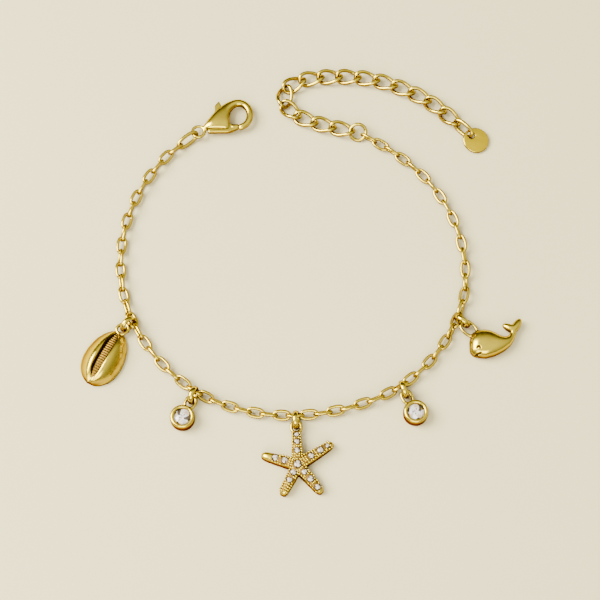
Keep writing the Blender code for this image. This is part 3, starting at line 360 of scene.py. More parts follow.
# Camera: point that it looks at, distance in mm and height above the horizon in degrees
CAMERA_TARGET = (-0.366, -5.130, 0.0)
CAMERA_DISTANCE = 238.0
CAMERA_ELEVATION = 68.0
CAMERA_LENS = 85.0
CAMERA_SENSOR = 36.0

# Painted shade: tone of the gold on flanks, and the upward shares of the normal between which it
# brightens
FLANK_PAINTED_SHADE = (0.22, 0.17, 0.09)
FLANK_START = 0.25
FLANK_END = 0.85

# Studio around the bracelet: brightness by height and by depth, from below and from the front
SKY_BY_HEIGHT = ((0.5, (0.40, 0.37, 0.33)), (1.0, (1.12, 1.09, 1.02)), (0.62, (0.42, 0.39, 0.34)),
                 (0.80, (0.72, 0.70, 0.65)))
SKY_BY_DEPTH = ((0.0, (1.0, 1.0, 1.0)), (1.0, (0.14, 0.12, 0.09)), (0.70, (1.0, 1.0, 1.0)),
                (0.88, (0.14, 0.12, 0.09)))
# Lights: place, width and height in metres, and power
LIGHTS = {
    "key": ((-0.40, 0.05, 0.42), 0.40, 0.40, 9.0),
    "front": ((-0.05, -0.50, 0.40), 0.50, 0.30, 3.2),
}
LIGHT_COLOUR = (1.0, 0.96, 0.89)
# Surface: how far it lies below the pieces in mm, and the size, range and gloss of its clouding
SURFACE_DROP = 0.02
SURFACE_SCALE = 14.0
SURFACE_DIMMING = 0.97
SURFACE_ROUGHNESS = 0.5
SURFACE_SPECULAR = 0.25

# How full a link's ends are: 1 is an ellipse, and less is squarer
LINK_FULLNESS = 0.8

# Fineness: points to each step of a route or a table, and facets along and around a wire
ROUTE_STEPS = 24
OUTLINE_STEPS = 4
BAND_STEPS = 5
FACE_STEPS = 12
COWRIE_STEPS = 22
FLOOR_STEPS = 3
ARM_SECTION_STEPS = 16
LOOP_STATIONS = 56
LOOP_SIDES = 14
CHAIN_STATIONS = 36
CHAIN_SIDES = 10
# Rounds of smoothing that a cast body gets
CLASP_POLISH = 50
LEVER_POLISH = 5
STAR_POLISH = 4
WHALE_POLISH = 12
# Domed bodies: grids in mm, rounds until the film is still, and how sharply it meets its limit
FILM_STEPS = (0.12, 0.06, 0.03)
FILM_ROUNDS = 1500
FILM_POWER = 4.0


class Route:
    """A smooth level curve through chosen points, read by the distance along it."""

    def __init__(self, points, height):
        self.points = [Vector((x, y, height)) for x, y in refine(points, ROUTE_STEPS)]
        self.distances = [0.0]
        for start, end in zip(self.points, self.points[1:]):
            self.distances.append(self.distances[-1] + (end - start).length)
        self.length = self.distances[-1]

    def at(self, distance):
        """Point and direction at a distance; beyond either end the route runs straight on."""
        index = 1
        while index < len(self.points) - 1 and self.distances[index] < distance:
            index += 1
        start = self.points[index - 1]
        direction = (self.points[index] - start).normalized()
        return start + direction * (distance - self.distances[index - 1]), direction

    def step(self, distance, stride):
        """Distance of the point that lies a straight stride ahead of the one at a distance."""
        start, _ = self.at(distance)
        ahead = distance + stride
        for _ in range(ROUTE_STEPS):
            point, _ = self.at(ahead)
            ahead += stride - (point - start).length
        return ahead


def between(before, start, end, after, share):
    """Point on the smooth curve from start to end, bent by the points before and after."""
    straight = end - start
    leave = (end - before) / 2
    arrive = (after - start) / 2
    bend = leave + arrive - 2 * straight
    return start + share * (leave + share * (3 * straight - 2 * leave - arrive + share * bend))


def smooth_rows(knots, steps):
    """Smooth rows from the second row to the one before the last."""
    return [tuple(between(*values, step / steps) for values in zip(*group))
            for group in zip(knots, knots[1:], knots[2:], knots[3:]) for step in range(steps)]


def refine(rows, steps):
    """A table's rows with smooth rows added between them."""
    before = tuple(2 * a - b for a, b in zip(rows[0], rows[1]))
    after = tuple(2 * a - b for a, b in zip(rows[-1], rows[-2]))
    return smooth_rows([before, *rows, after], steps) + [tuple(rows[-1])]


def refine_loop(points, steps):
    """A closed outline with smooth points added between its corners."""
    return smooth_rows([points[-1], *points, *points[:2]], steps)


def table_value(table, share):
    """Value at a share, read along straight lines between a table's rows."""
    for (low, first), (high, second) in zip(table, table[1:]):
        if share <= high:
            return first + (second - first) * max(share - low, 0.0) / (high - low)
    return table[-1][1]


def frame_at(centre, along, side):
    """Frame with x along, y towards side, and z square to both."""
    x_axis = along.normalized()
    z_axis = x_axis.cross(side).normalized()
    y_axis = z_axis.cross(x_axis)
    at = Matrix((x_axis, y_axis, z_axis)).transposed().to_4x4()
    at.translation = centre
    return at


def level_frame(centre, bearing):
    """Level frame with x at a bearing in degrees from +X."""
    return Matrix.Translation(centre) @ Matrix.Rotation(math.radians(bearing), 4, "Z")


def raised_side(along, roll):
    """Direction square to a level one, to its left for no roll and upward for 90 degrees."""
    turn = math.radians(roll)
    return math.cos(turn) * UP.cross(along) + math.sin(turn) * UP


def rolled_frame(centre, along, roll):
    """Frame along a level direction, its side raised by a roll in degrees."""
    return frame_at(centre, along, raised_side(along, roll))


def bearing_direction(bearing):
    angle = math.radians(bearing)
    return Vector((math.cos(angle), math.sin(angle), 0.0))


def add_loop(mesh, size, at=Matrix.Identity(4), twist=0.0, broad=1.0, stations=LOOP_STATIONS,
             sides=LOOP_SIDES):
    """Adds a closed loop of wire; size is length and width over the outside, and wire."""
    length, width, wire = size
    fullness = LINK_FULLNESS if length > width else 1.0
    centres = []
    normals = []
    for station in range(stations):
        angle = math.tau * station / stations
        along = math.copysign(abs(math.cos(angle)) ** fullness, math.cos(angle))
        across = (width - wire) / 2 * math.copysign(abs(math.sin(angle)) ** fullness, math.sin(angle))
        roll = math.radians(twist) * along
        centres.append(Vector(((length - wire) / 2 * along, across * math.cos(roll),
                               across * math.sin(roll))))
        normals.append(Vector((0.0, -math.sin(roll), math.cos(roll))))
    rings = []
    for index, centre in enumerate(centres):
        tangent = (centres[(index + 1) % stations] - centres[index - 1]).normalized()
        inward = normals[index].cross(tangent).normalized()
        upward = tangent.cross(inward)
        ring = []
        for side in range(sides):
            angle = math.tau * side / sides
            offset = wire / 2 * (math.cos(angle) * inward + broad * math.sin(angle) * upward)
            ring.append(mesh.verts.new(at @ (centre + offset)))
        rings.append(ring)
    for index, ring in enumerate(rings):
        join_rings(mesh, ring, rings[(index + 1) % stations])


def fuller(size, swell):
    """A loop with a thicker wire that leaves the same room for its neighbours at both ends."""
    length, width, wire = size
    if length == width:
        return length, width, wire + swell
    return length + 2 * swell, width, wire + swell


def join_rings(mesh, first, second):
    count = len(first)
    for corner in range(count):
        following = (corner + 1) % count
        mesh.faces.new((first[corner], first[following], second[following], second[corner]))


def add_loft(mesh, rings):
    """Adds a closed body through the rings of points, with a flat face at each end."""
    corners = [[mesh.verts.new(point) for point in ring] for ring in rings]
    for first, second in zip(corners, corners[1:]):
        join_rings(mesh, first, second)
    mesh.faces.new(list(reversed(corners[0])))
    mesh.faces.new(corners[-1])


def add_prism(mesh, outline, bottom, top):
    """Adds an upright body with a level outline."""
    add_loft(mesh, [[Vector((x, y, z)) for x, y in outline] for z in (bottom, top)])


def circle(radius, sides, centre=(0.0, 0.0), turn=0.0):
    angles = [math.tau * side / sides + turn for side in range(sides)]
    return [(centre[0] + radius * math.cos(a), centre[1] + radius * math.sin(a)) for a in angles]


def add_turned(mesh, profile, sides, at=Matrix.Identity(4)):
    """Adds a body turned about z. The profile of radius and height starts and ends on the axis."""
    rings = []
    for radius, height in profile[1:-1]:
        corners = circle(radius, sides)
        rings.append([mesh.verts.new(at @ Vector((x, y, height))) for x, y in corners])
    for first, second in zip(rings, rings[1:]):
        join_rings(mesh, first, second)
    for pole, ring in ((profile[0], rings[0]), (profile[-1], rings[-1])):
        tip = mesh.verts.new(at @ Vector((0.0, 0.0, pole[1])))
        for side in range(sides):
            pair = (ring[side], ring[(side + 1) % sides])
            if ring is rings[0]:
                pair = (pair[1], pair[0])
            mesh.faces.new((pair[0], pair[1], tip))


def add_ball(mesh, centre, radius):
    """Adds a small grain of gold."""
    grain = bmesh.ops.create_icosphere(mesh, subdivisions=2, radius=radius)
    bmesh.ops.translate(mesh, vec=centre, verts=grain["verts"])


def add_brilliant(mesh, centre, radius, crown, pavilion, turn=0.0):
    """Adds a round cut stone: table, star, kite and girdle facets above, and facets below."""
    table = BRILLIANT_TABLE * radius
    girdle = BRILLIANT_GIRDLE * radius
    between_corners = math.tau / 16
    levels = [
        (table / 2, crown + girdle, 8, between_corners),
        (table, crown + girdle, 8, 0.0),
        (BRILLIANT_MIDDLE * radius, BRILLIANT_MIDDLE_RISE * crown + girdle, 8, between_corners),
        (radius, girdle, 16, 0.0),
        (radius, 0.0, 16, 0.0),
        (BRILLIANT_LOWER[0] * radius, -BRILLIANT_LOWER[1] * pavilion, 8, between_corners),
    ]
    before = len(mesh.faces)
    rings = []
    for width, height, sides, shift in levels:
        corners = circle(width, sides, turn=turn + shift)
        rings.append([mesh.verts.new(centre + Vector((x, y, height))) for x, y in corners])
    inner, top, crown_ring, upper, lower, pavilion_ring = rings
    peak = mesh.verts.new(centre + Vector((0.0, 0.0, crown + girdle)))
    culet = mesh.verts.new(centre + Vector((0.0, 0.0, -pavilion)))
    for index in range(8):
        ahead = (index + 1) % 8
        even, odd, following = 2 * index, 2 * index + 1, (2 * index + 2) % 16
        mesh.faces.new((peak, inner[index], inner[ahead]))
        mesh.faces.new((top[index], top[ahead], inner[index]))
        mesh.faces.new((inner[index - 1], top[index], inner[index]))
        mesh.faces.new((top[ahead], top[index], crown_ring[index]))
        mesh.faces.new((top[index], crown_ring[index - 1], upper[even], crown_ring[index]))
        mesh.faces.new((crown_ring[index], upper[even], upper[odd]))
        mesh.faces.new((crown_ring[index], upper[odd], upper[following]))
        mesh.faces.new((pavilion_ring[index], lower[odd], lower[even]))
        mesh.faces.new((pavilion_ring[index], lower[following], lower[odd]))
        mesh.faces.new((pavilion_ring[index], lower[even], pavilion_ring[index - 1], culet))
    join_rings(mesh, lower, upper)
    mesh.faces.ensure_lookup_table()
    # Each facet gets a painted tone: highlight, reflection or shade
    for number, face in enumerate(mesh.faces[before:]):
        tones = FACET_PAINTED_TONES[number % len(FACET_PAINTED_TONES)]
        face.material_index = tones[(number // len(FACET_PAINTED_TONES) + before) % len(tones)]


def temporary(shape):
    """A working object in millimetres."""
    bmesh.ops.recalc_face_normals(shape, faces=shape.faces)
    mesh = bpy.data.meshes.new("working")
    shape.to_mesh(mesh)
    shape.free()
    item = bpy.data.objects.new("working", mesh)
    bpy.context.collection.objects.link(item)
    return item


def shaped(item, *helpers):
    """The finished mesh of a working object and its modifiers, as a new shape."""
    bpy.context.view_layer.update()
    finished = item.evaluated_get(bpy.context.evaluated_depsgraph_get())
    shape = bmesh.new()
    mesh = bpy.data.meshes.new_from_object(finished)
    shape.from_mesh(mesh)
    bpy.data.meshes.remove(mesh)
    for used in (item, *helpers):
        bpy.data.objects.remove(used)
    return shape


def covered(outline, xs, ys):
    """Which points of a grid lie inside an outline."""
    inside = np.zeros(xs.shape, dtype=bool)
    for (x0, y0), (x1, y1) in zip(outline, outline[1:] + outline[:1]):
        crosses = (y0 > ys) != (y1 > ys)
        rise = y1 - y0 if y1 != y0 else 1.0
        inside ^= crosses & (xs < x0 + (ys - y0) * (x1 - x0) / rise)
    return inside


def add_film(shape, outlines, limits, middle=0.0):
    """Adds a domed body over the outlines: as round as they are narrow, up to a height each way."""
    corners = np.array([point for outline in outlines for point in outline])
    low = corners.min(axis=0) - 2 * FILM_STEPS[0]
    high = corners.max(axis=0) + 2 * FILM_STEPS[0]
    film = np.zeros((1, 1))
    for grid in FILM_STEPS:
        xs, ys = np.meshgrid(np.arange(low[0], high[0], grid), np.arange(low[1], high[1], grid))
        mask = np.zeros(xs.shape, dtype=bool)
        for outline in outlines:
            mask |= covered(list(outline), xs, ys)
        doubled = np.repeat(np.repeat(film, 2, 0), 2, 1)
        film = np.zeros(xs.shape)
        rows, columns = np.minimum(film.shape, doubled.shape)
        film[:rows, :columns] = doubled[:rows, :columns]
        for _ in range(FILM_ROUNDS):
            around = sum(np.roll(film, shift, axis) for axis in (0, 1) for shift in (1, -1))
            film = mask * (around + grid ** 2) / 4
    radius = np.sqrt(2 * film)
    tops = {}
    bottoms = {}
    for row, column in zip(*np.nonzero(mask)):
        x, y, dome = xs[row, column], ys[row, column], radius[row, column]
        up, down = (dome / (1 + (dome / limit) ** FILM_POWER) ** (1 / FILM_POWER) for limit in limits)
        tops[row, column] = shape.verts.new((x, y, middle + up))
        bottoms[row, column] = shape.verts.new((x, y, middle - down))
    sides = {}
    for row, column in tops:
        cell = [(row, column), (row, column + 1), (row + 1, column + 1), (row + 1, column)]
        if all(corner in tops for corner in cell):
            shape.faces.new([tops[corner] for corner in cell])
            shape.faces.new([bottoms[corner] for corner in reversed(cell)])
            for start, end in zip(cell, cell[1:] + cell[:1]):
                if (end, start) in sides:
                    del sides[end, start]
                else:
                    sides[start, end] = True
    for start, end in sides:
        shape.faces.new((tops[end], tops[start], bottoms[start], bottoms[end]))


def cast(shape, voxel, smoothing):
    """Melts overlapping bodies into one, with its inner corners filled and its edges rounded."""
    item = temporary(shape)
    melt = item.modifiers.new("Melt", "REMESH")
    melt.mode = "VOXEL"
    melt.voxel_size = voxel
    polish = item.modifiers.new("Polish", "SMOOTH")
    polish.factor = 0.5
    polish.iterations = smoothing
    return shaped(item)


def cut(shape, tool_shape):
    """Cuts a tool's shape out of a body."""
    item = temporary(shape)
    tool = temporary(tool_shape)
    modifier = item.modifiers.new("Cut", "BOOLEAN")
    modifier.operation = "DIFFERENCE"
    modifier.solver = "EXACT"
    modifier.object = tool
    return shaped(item, tool)


def round_edges(shape, width, segments):
    """Rounds the flat faces' edges of a prism."""
    edges = [edge for edge in shape.edges if abs(edge.verts[0].co.z - edge.verts[1].co.z) < 1e-6]
    bmesh.ops.bevel(shape, geom=edges, offset=width, segments=segments, profile=0.5, affect="EDGES")


def add_piece(name, shape, at, materials, nodes, body=ROOT, sharp=40.0):
    """Places a finished piece at a frame in millimetres, riding a body in place of its solids."""
    bmesh.ops.recalc_face_normals(shape, faces=shape.faces)
    move = Matrix.Scale(MM, 4) @ Matrix.Translation((-MIDDLE[0], -MIDDLE[1], 0.0)) @ at
    bmesh.ops.transform(shape, matrix=move, verts=shape.verts)
    mesh = bpy.data.meshes.new(name)
    shape.to_mesh(mesh)
    shape.free()
    if sharp:
        mesh.shade_smooth()
        mesh.set_sharp_from_angle(angle=math.radians(sharp))
    for material in materials:
        mesh.materials.append(material)
    item = bpy.data.objects.new(name, mesh)
    bpy.context.collection.objects.link(item)
    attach(item, body)
    if nodes:
        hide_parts(*nodes)


def new_material(name):
    material = bpy.data.materials.new(name)
    material.use_nodes = True
    tree = material.node_tree
    return material, tree, tree.nodes["Principled BSDF"]


def add_noise(tree, scale, detail, stretch=(1.0, 1.0, 1.0)):
    """Noise in the piece's own coordinates; scale is in features to the metre."""
    place = tree.nodes.new("ShaderNodeTexCoord")
    mapping = tree.nodes.new("ShaderNodeMapping")
    mapping.inputs["Scale"].default_value = stretch
    noise = tree.nodes.new("ShaderNodeTexNoise")
    noise.inputs["Scale"].default_value = scale
    noise.inputs["Detail"].default_value = detail
    tree.links.new(place.outputs["Object"], mapping.inputs["Vector"])
    tree.links.new(mapping.outputs["Vector"], noise.inputs["Vector"])
    return noise


def tint(tree, source, dark, light, low=0.35, high=0.65):
    """Colour between two tones by a value: a noise, or the normal's upward share for the painted flank
    shade.
    """
    ramp = tree.nodes.new("ShaderNodeValToRGB")
    ramp.color_ramp.elements[0].position = low
    ramp.color_ramp.elements[0].color = (*dark, 1.0)
    ramp.color_ramp.elements[1].position = high
    ramp.color_ramp.elements[1].color = (*light, 1.0)
    tree.links.new(source, ramp.inputs["Fac"])
    return ramp.outputs["Color"]


def multiply(tree, first, second, target):
    """Sends the product of two colours to a socket."""
    mixed = tree.nodes.new("ShaderNodeMix")
    mixed.data_type = "RGBA"
    mixed.blend_type = "MULTIPLY"
    mixed.inputs["Factor"].default_value = 1.0
    inputs = [socket for socket in mixed.inputs if socket.type == "RGBA"]
    tree.links.new(first, inputs[0])
    tree.links.new(second, inputs[1])
    tree.links.new(next(socket for socket in mixed.outputs if socket.type == "RGBA"), target)


def spread(tree, source, low, high):
    """Number between two values by a noise."""
    ranged = tree.nodes.new("ShaderNodeMapRange")
    ranged.inputs["From Min"].default_value = 0.3
    ranged.inputs["From Max"].default_value = 0.7
    ranged.inputs["To Min"].default_value = low
    ranged.inputs["To Max"].default_value = high
    tree.links.new(source, ranged.inputs["Value"])
    return ranged.outputs["Result"]


def gold(name):
    """Plated gold of a finish: tone and gloss vary softly, with hairline wear from polishing, painted
    shade on its flanks and a dark edge tint as painted shade.
    """
    if name in bpy.data.materials:
        return bpy.data.materials[name]
    colours = bpy.context.scene.bracelet_colours
    colour_name, roughness, scratches = FINISHES[name]
    colour = getattr(colours, colour_name)
    material, tree, shader = new_material(name)
    shader.inputs["Metallic"].default_value = 1.0
    # Painted shade: a dark edge tint darkens the gold where it is seen edge on
    shader.inputs["Specular Tint"].default_value = (*colours.edge, 1.0)
    tone = add_noise(tree, TONE_SCALE, 3.0)
    dark, light = ([min(share * value, 1.0) for value in colour] for share in GOLD_TONES)
    # Painted shade: the base colour darkens where the normal points less upward
    place = tree.nodes.new("ShaderNodeTexCoord")
    split = tree.nodes.new("ShaderNodeSeparateXYZ")
    tree.links.new(place.outputs["Normal"], split.inputs["Vector"])
    painted_flank_shade = tint(tree, split.outputs["Z"], FLANK_PAINTED_SHADE, (1.0, 1.0, 1.0), FLANK_START, FLANK_END)
    multiply(tree, tint(tree, tone.outputs["Fac"], dark, light), painted_flank_shade, shader.inputs["Base Color"])
    gloss = add_noise(tree, GLOSS_SCALE, 4.0)
    low, high = (share * roughness for share in GOLD_GLOSS)
    tree.links.new(spread(tree, gloss.outputs["Fac"], low, high), shader.inputs["Roughness"])
    wear = add_noise(tree, WEAR_SCALE, 2.0, WEAR_STRETCH)
    bump = tree.nodes.new("ShaderNodeBump")
    bump.inputs["Strength"].default_value = scratches
    bump.inputs["Distance"].default_value = WEAR_DEPTH * MM
    tree.links.new(wear.outputs["Fac"], bump.inputs["Height"])
    tree.links.new(bump.outputs["Normal"], shader.inputs["Normal"])
    return material


def charm_gold():
    """Finishes of a charm, in the order that its faces name them."""
    return [gold(name) for name in CHARM_FINISHES]


def cut_stone(name):
    """Clear cut stone in one of the painted tones of its facets, with painted glow and painted
    sparkle.
    """
    label = f"clear_{name}_cut"
    if label in bpy.data.materials:
        return bpy.data.materials[label]
    material, tree, shader = new_material(label)
    colour = getattr(bpy.context.scene.bracelet_colours, name)
    shader.inputs["IOR"].default_value = STONE_INDEX
    # Painted glow: the stone gives off a little light of its own colour
    shader.inputs["Emission Color"].default_value = (*colour, 1.0)
    shader.inputs["Emission Strength"].default_value = STONE_PAINTED_GLOW
    # Painted sparkle: a noise dims and brightens patches of the facets, and also varies their
    # roughness
    painted_sparkle = add_noise(tree, STONE_SCALE, 1.0)
    dark = [STONE_PAINTED_DIMMING * value for value in colour]
    tree.links.new(tint(tree, painted_sparkle.outputs["Fac"], dark, colour, *STONE_EDGES),
                   shader.inputs["Base Color"])
    tree.links.new(spread(tree, painted_sparkle.outputs["Fac"], *STONE_GLOSS), shader.inputs["Roughness"])
    return material


def stone_tones(bright):
    """The painted tones of a stone's facets: bright highlight, warm reflection and dim shade."""
    return [cut_stone(name) for name in (bright, "stone_warm", "stone_shade")]


class BraceletSizes(bpy.types.PropertyGroup):
    """Sizes of the visible details that can be changed by themselves."""

    clasp_voxel: FloatProperty(
        name="Clasp detail", description="Grain of the cast clasp; smaller is finer",
        default=0.075 * MM, min=0.05 * MM, unit="LENGTH")
    lever_rounding: FloatProperty(
        name="Lever rounding", description="Rounding of the lever's edges",
        default=0.2 * MM, min=0.02 * MM, unit="LENGTH")
    gate_width: FloatProperty(
        name="Gate width", description="Diameter of the lever's round end",
        default=1.0 * MM, min=0.5 * MM, unit="LENGTH")
    tag_rounding: FloatProperty(
        name="Tag rounding", description="Rounding of the end tag's edges",
        default=0.18 * MM, min=0.01 * MM, unit="LENGTH")
    charm_voxel: FloatProperty(
        name="Charm detail", description="Grain of the cast charms; smaller is finer",
        default=0.07 * MM, min=0.05 * MM, unit="LENGTH")
    slit_depth: FloatProperty(
        name="Shell slit depth", description="Depth of the shell's slit at its deep edge",
        default=1.1 * MM, min=0.1 * MM, unit="LENGTH")
    tooth_pitch: FloatProperty(
        name="Shell tooth pitch", description="Distance between the teeth in the shell's slit",
        default=0.42 * MM, min=0.1 * MM, unit="LENGTH")
    tooth_height: FloatProperty(
        name="Shell tooth height", description="Height of the teeth in the shell's slit",
        default=0.12 * MM, min=0.0, unit="LENGTH")
    stone_crown: FloatProperty(
        name="Stone crown", description="Height of the bezel stones above their girdle",
        default=0.42 * MM, min=0.1 * MM, unit="LENGTH")
    grain: FloatProperty(
        name="Grain", description="Diameter of the grains that hold the starfish's stones",
        default=0.38 * MM, min=0.1 * MM, unit="LENGTH")
    grain_pitch: FloatProperty(
        name="Grain pitch", description="Distance between the rows of grains along an arm",
        default=0.44 * MM, min=0.2 * MM, unit="LENGTH")
    floor_size: FloatProperty(
        name="Surface size", description="Width of the pale surface", default=3.0, min=0.5,
        unit="LENGTH")


class BraceletColours(bpy.types.PropertyGroup):
    """Colours of the finishes and of the surface, with the painted shade of the gold and the painted
    tones of the stones.
    """

    chain: FloatVectorProperty(
        name="Chain gold", description="Colour of the fine chain", subtype="COLOR",
        default=(0.97, 0.71, 0.05), min=0.0, max=1.0)
    polished: FloatVectorProperty(
        name="Polished gold", description="Colour of the clasp, rings and charms", subtype="COLOR",
        default=(1.0, 0.74, 0.06), min=0.0, max=1.0)
    satin: FloatVectorProperty(
        name="Satin gold", description="Colour of the end tag", subtype="COLOR",
        default=(1.0, 0.69, 0.0), min=0.0, max=1.0)
    stone: FloatVectorProperty(
        name="Clear stone", description="Colour of the cut stones", subtype="COLOR",
        default=(0.97, 0.94, 0.88), min=0.0, max=1.0)
    small_stone: FloatVectorProperty(
        name="Small stone", description="Colour of the starfish's stones", subtype="COLOR",
        default=(0.98, 0.88, 0.72), min=0.0, max=1.0)
    # Painted reflection: the warm tone of the stones' facets
    stone_warm: FloatVectorProperty(
        name="Stone glow", description="Colour of the stones' warm facets", subtype="COLOR",
        default=(0.80, 0.64, 0.46), min=0.0, max=1.0)
    # Painted shade: the dim tone of the stones' facets
    stone_shade: FloatVectorProperty(
        name="Stone shade", description="Colour of the stones' dim facets", subtype="COLOR",
        default=(0.08, 0.06, 0.04), min=0.0, max=1.0)
    # Painted shade: dark gold in engraved lines, the shell's groove and round the starfish's stones
    recess: FloatVectorProperty(
        name="Recess", description="Colour of the gold in engraved lines", subtype="COLOR",
        default=(0.08, 0.04, 0.006), min=0.0, max=1.0)
    # Painted shade: darker gold between the starfish's stones and on the shell's slit floor
    setting: FloatVectorProperty(
        name="Setting", description="Colour of the gold between the starfish's stones",
        subtype="COLOR", default=(0.34, 0.20, 0.03), min=0.0, max=1.0)
    # Painted shade: dark tint of the gold seen edge on, in place of shaded reflections along its edges
    edge: FloatVectorProperty(
        name="Gold edge", description="Colour that the gold turns to where it is seen edge on",
        subtype="COLOR", default=(0.26, 0.18, 0.03), min=0.0, max=1.0)
    surface: FloatVectorProperty(
        name="Surface", description="Colour of the pale surface", subtype="COLOR",
        default=(0.98, 0.88, 0.48), min=0.0, max=1.0)


class FineChain:
    """Places of the fine chain's links along its route, counted from the clasp's end."""

    def __init__(self):
        self.route = Route(CHAIN_ROUTE, CHAIN_HEIGHT)
        length, _, wire = CHAIN_LINK
        clasp_link_reach = CLASP_LINK[0] / 2 - CLASP_LINK[2]
        reach = length / 2 - wire
        ring_hole = CONNECTING_RING[0] / 2 - CONNECTING_RING[2]
        self.clasp_link_distance = CLASP_EYE_HOLE + clasp_link_reach - RUNNING_GAP
        first = self.clasp_link_distance + clasp_link_reach + reach - RUNNING_GAP
        last = self.route.length - ring_hole - reach + RUNNING_GAP
        pitch = 2 * reach + CHAIN_SOLDER
        steps = 2 * round((last - first) / (2 * pitch))
        self.split = round(CHAIN_SPLIT * steps)
        draws = [table_value(CHAIN_DRAW, (step + 0.5) / steps) for step in range(steps)]
        slack = CHAIN_SOLDER + RUNNING_GAP
        stretch = (last - first + slack) / sum(draws)
        pitches = [draw * stretch for draw in draws]
        self.lengths = []
        for link in range(steps + 1):
            near = pitches[max(link - 1, 0)]
            far = pitches[min(link, steps - 1)]
            self.lengths.append((near + far) / 2 - CHAIN_SOLDER + 2 * wire)
        self.distances = [first]
        for step, gap in enumerate(pitches):
            spare = slack if step == self.split else 0.0
            self.distances.append(self.distances[-1] + gap - spare)

    def lies_open(self, link):
        return link % 2 == 1

    def frame_of(self, link):
        """Frame of a link, rolled up on its outer side and by a quarter turn if it stands."""
        roll = table_value(CHAIN_ROLL, self.distances[link] / self.route.length)
        if not self.lies_open(link):
            roll += 90.0
        return rolled_frame(*self.route.at(self.distances[link]), 180.0 - roll)

    def nearest(self, share, lies_open):
        """The link nearest to a share of all the links that lies open, or that stands."""
        count = len(self.distances)
        links = [link for link in range(count) if self.lies_open(link) == lies_open]
        return min(links, key=lambda link: abs(link - share * (count - 1)))

    def charm_places(self, name):
        """Frames of a charm's jump ring and of the near wire of its eye."""
        share, lies_open, offset, ring_bearing, eye_bearing, _, _ = CHARMS[name]
        lean = math.radians(JUMP_RING_LEAN)
        hold, along = self.route.at(self.distances[self.nearest(share, lies_open)])
        outward = bearing_direction(ring_bearing)
        centre = hold + offset * along + JUMP_RING_REACH * outward
        centre.z = (JUMP_RING[0] - JUMP_RING[2]) / 2 * math.cos(lean) + JUMP_RING[2] / 2
        upright = Vector((0.0, 0.0, math.cos(lean)))
        sideways = math.sin(lean) * outward.cross(UP)
        eye = centre + EYE_REACH * outward
        eye.z = EYE_HEIGHT
        return frame_at(centre, outward, upright + sideways), level_frame(eye, eye_bearing)


chain = FineChain()


def eye_reach(name):
    """Distance between the middles of the wire at the near and the far end of a charm's eye."""
    return CHARMS[name][5] - EYE_WIRE


def add_eye(shape, name):
    """Adds a charm's soldered eye loop, in the charm's frame."""
    length, width = CHARMS[name][5:7]
    at = Matrix.Translation((eye_reach(name) / 2, 0.0, 0.0))
    size = (length + 2 * EYE_SWELL, width + 2 * EYE_SWELL, EYE_WIRE + EYE_SWELL)
    add_loop(shape, size, at)


class BRACELET_OT_chain(bpy.types.Operator):
    """Adds the fine cable chain in its two halves"""

    bl_idname = "bracelet.add_chain"
    bl_label = "Fine chain"

    def execute(self, context):
        count = len(chain.distances)
        halves = {"chain_left": range(chain.split + 1), "chain_right": range(chain.split + 1, count)}
        for name, links in halves.items():
            shape = bmesh.new()
            for link in links:
                size = (chain.lengths[link], CHAIN_LINK[1], CHAIN_LINK[2])
                add_loop(shape, fuller(size, CHAIN_SWELL), chain.frame_of(link),
                         stations=CHAIN_STATIONS, sides=CHAIN_SIDES)
            add_piece(f"fine_{name}", shape, Matrix.Identity(4), [gold("chain_gold_polish")],
                      [name])
        return {"FINISHED"}


def hook_outline():
    """Outline of the hook, out along its outer side and back along its inner side."""
    middle = Vector((CLASP_SPAN[0], HOOK_MIDDLE * CLASP_SPAN[1], 0.0))
    outer, inner = [], []
    for station in range(HOOK_STATIONS + 1):
        share = station / HOOK_STATIONS
        angle = math.radians(HOOK_START + (HOOK_END - HOOK_START) * share)
        spoke = Vector((HOOK_REACH[0] * math.cos(angle), HOOK_REACH[1] * math.sin(angle), 0.0))
        square = Vector((math.cos(angle) * HOOK_REACH[1], math.sin(angle) * HOOK_REACH[0], 0.0))
        square.normalize()
        half_width = (HOOK_ROOT + (HOOK_TIP - HOOK_ROOT) * share ** HOOK_TAPER) / 2
        outer.append(tuple((middle + spoke + half_width * square).xy))
        inner.append(tuple((middle + spoke - HOOK_INNER * square).xy))
    return outer + inner[::-1]


def clasp_points(rows):
    """Points in mm of one of the clasp's tables."""
    return [(CLASP_SPAN[0] * x, CLASP_SPAN[1] * y) for x, y in rows]


def lever_outline():
    """Outline of the lever about its pivot, stretched to end just short of the hook's tip."""
    length, width = CLASP_SPAN
    pivot_x, pivot_y = LEVER_PIVOT[0] * length, LEVER_PIVOT[1] * width
    tip_x = length + HOOK_REACH[0] * math.cos(math.radians(HOOK_GATE)) - LEVER_TIP_GAP
    outline = []
    for x, y in clasp_points(LEVER_OUTLINE):
        if x > pivot_x:
            x = pivot_x + (x - pivot_x) * (tip_x - pivot_x) / (length - pivot_x)
        outline.append((x - pivot_x, y - pivot_y))
    return outline


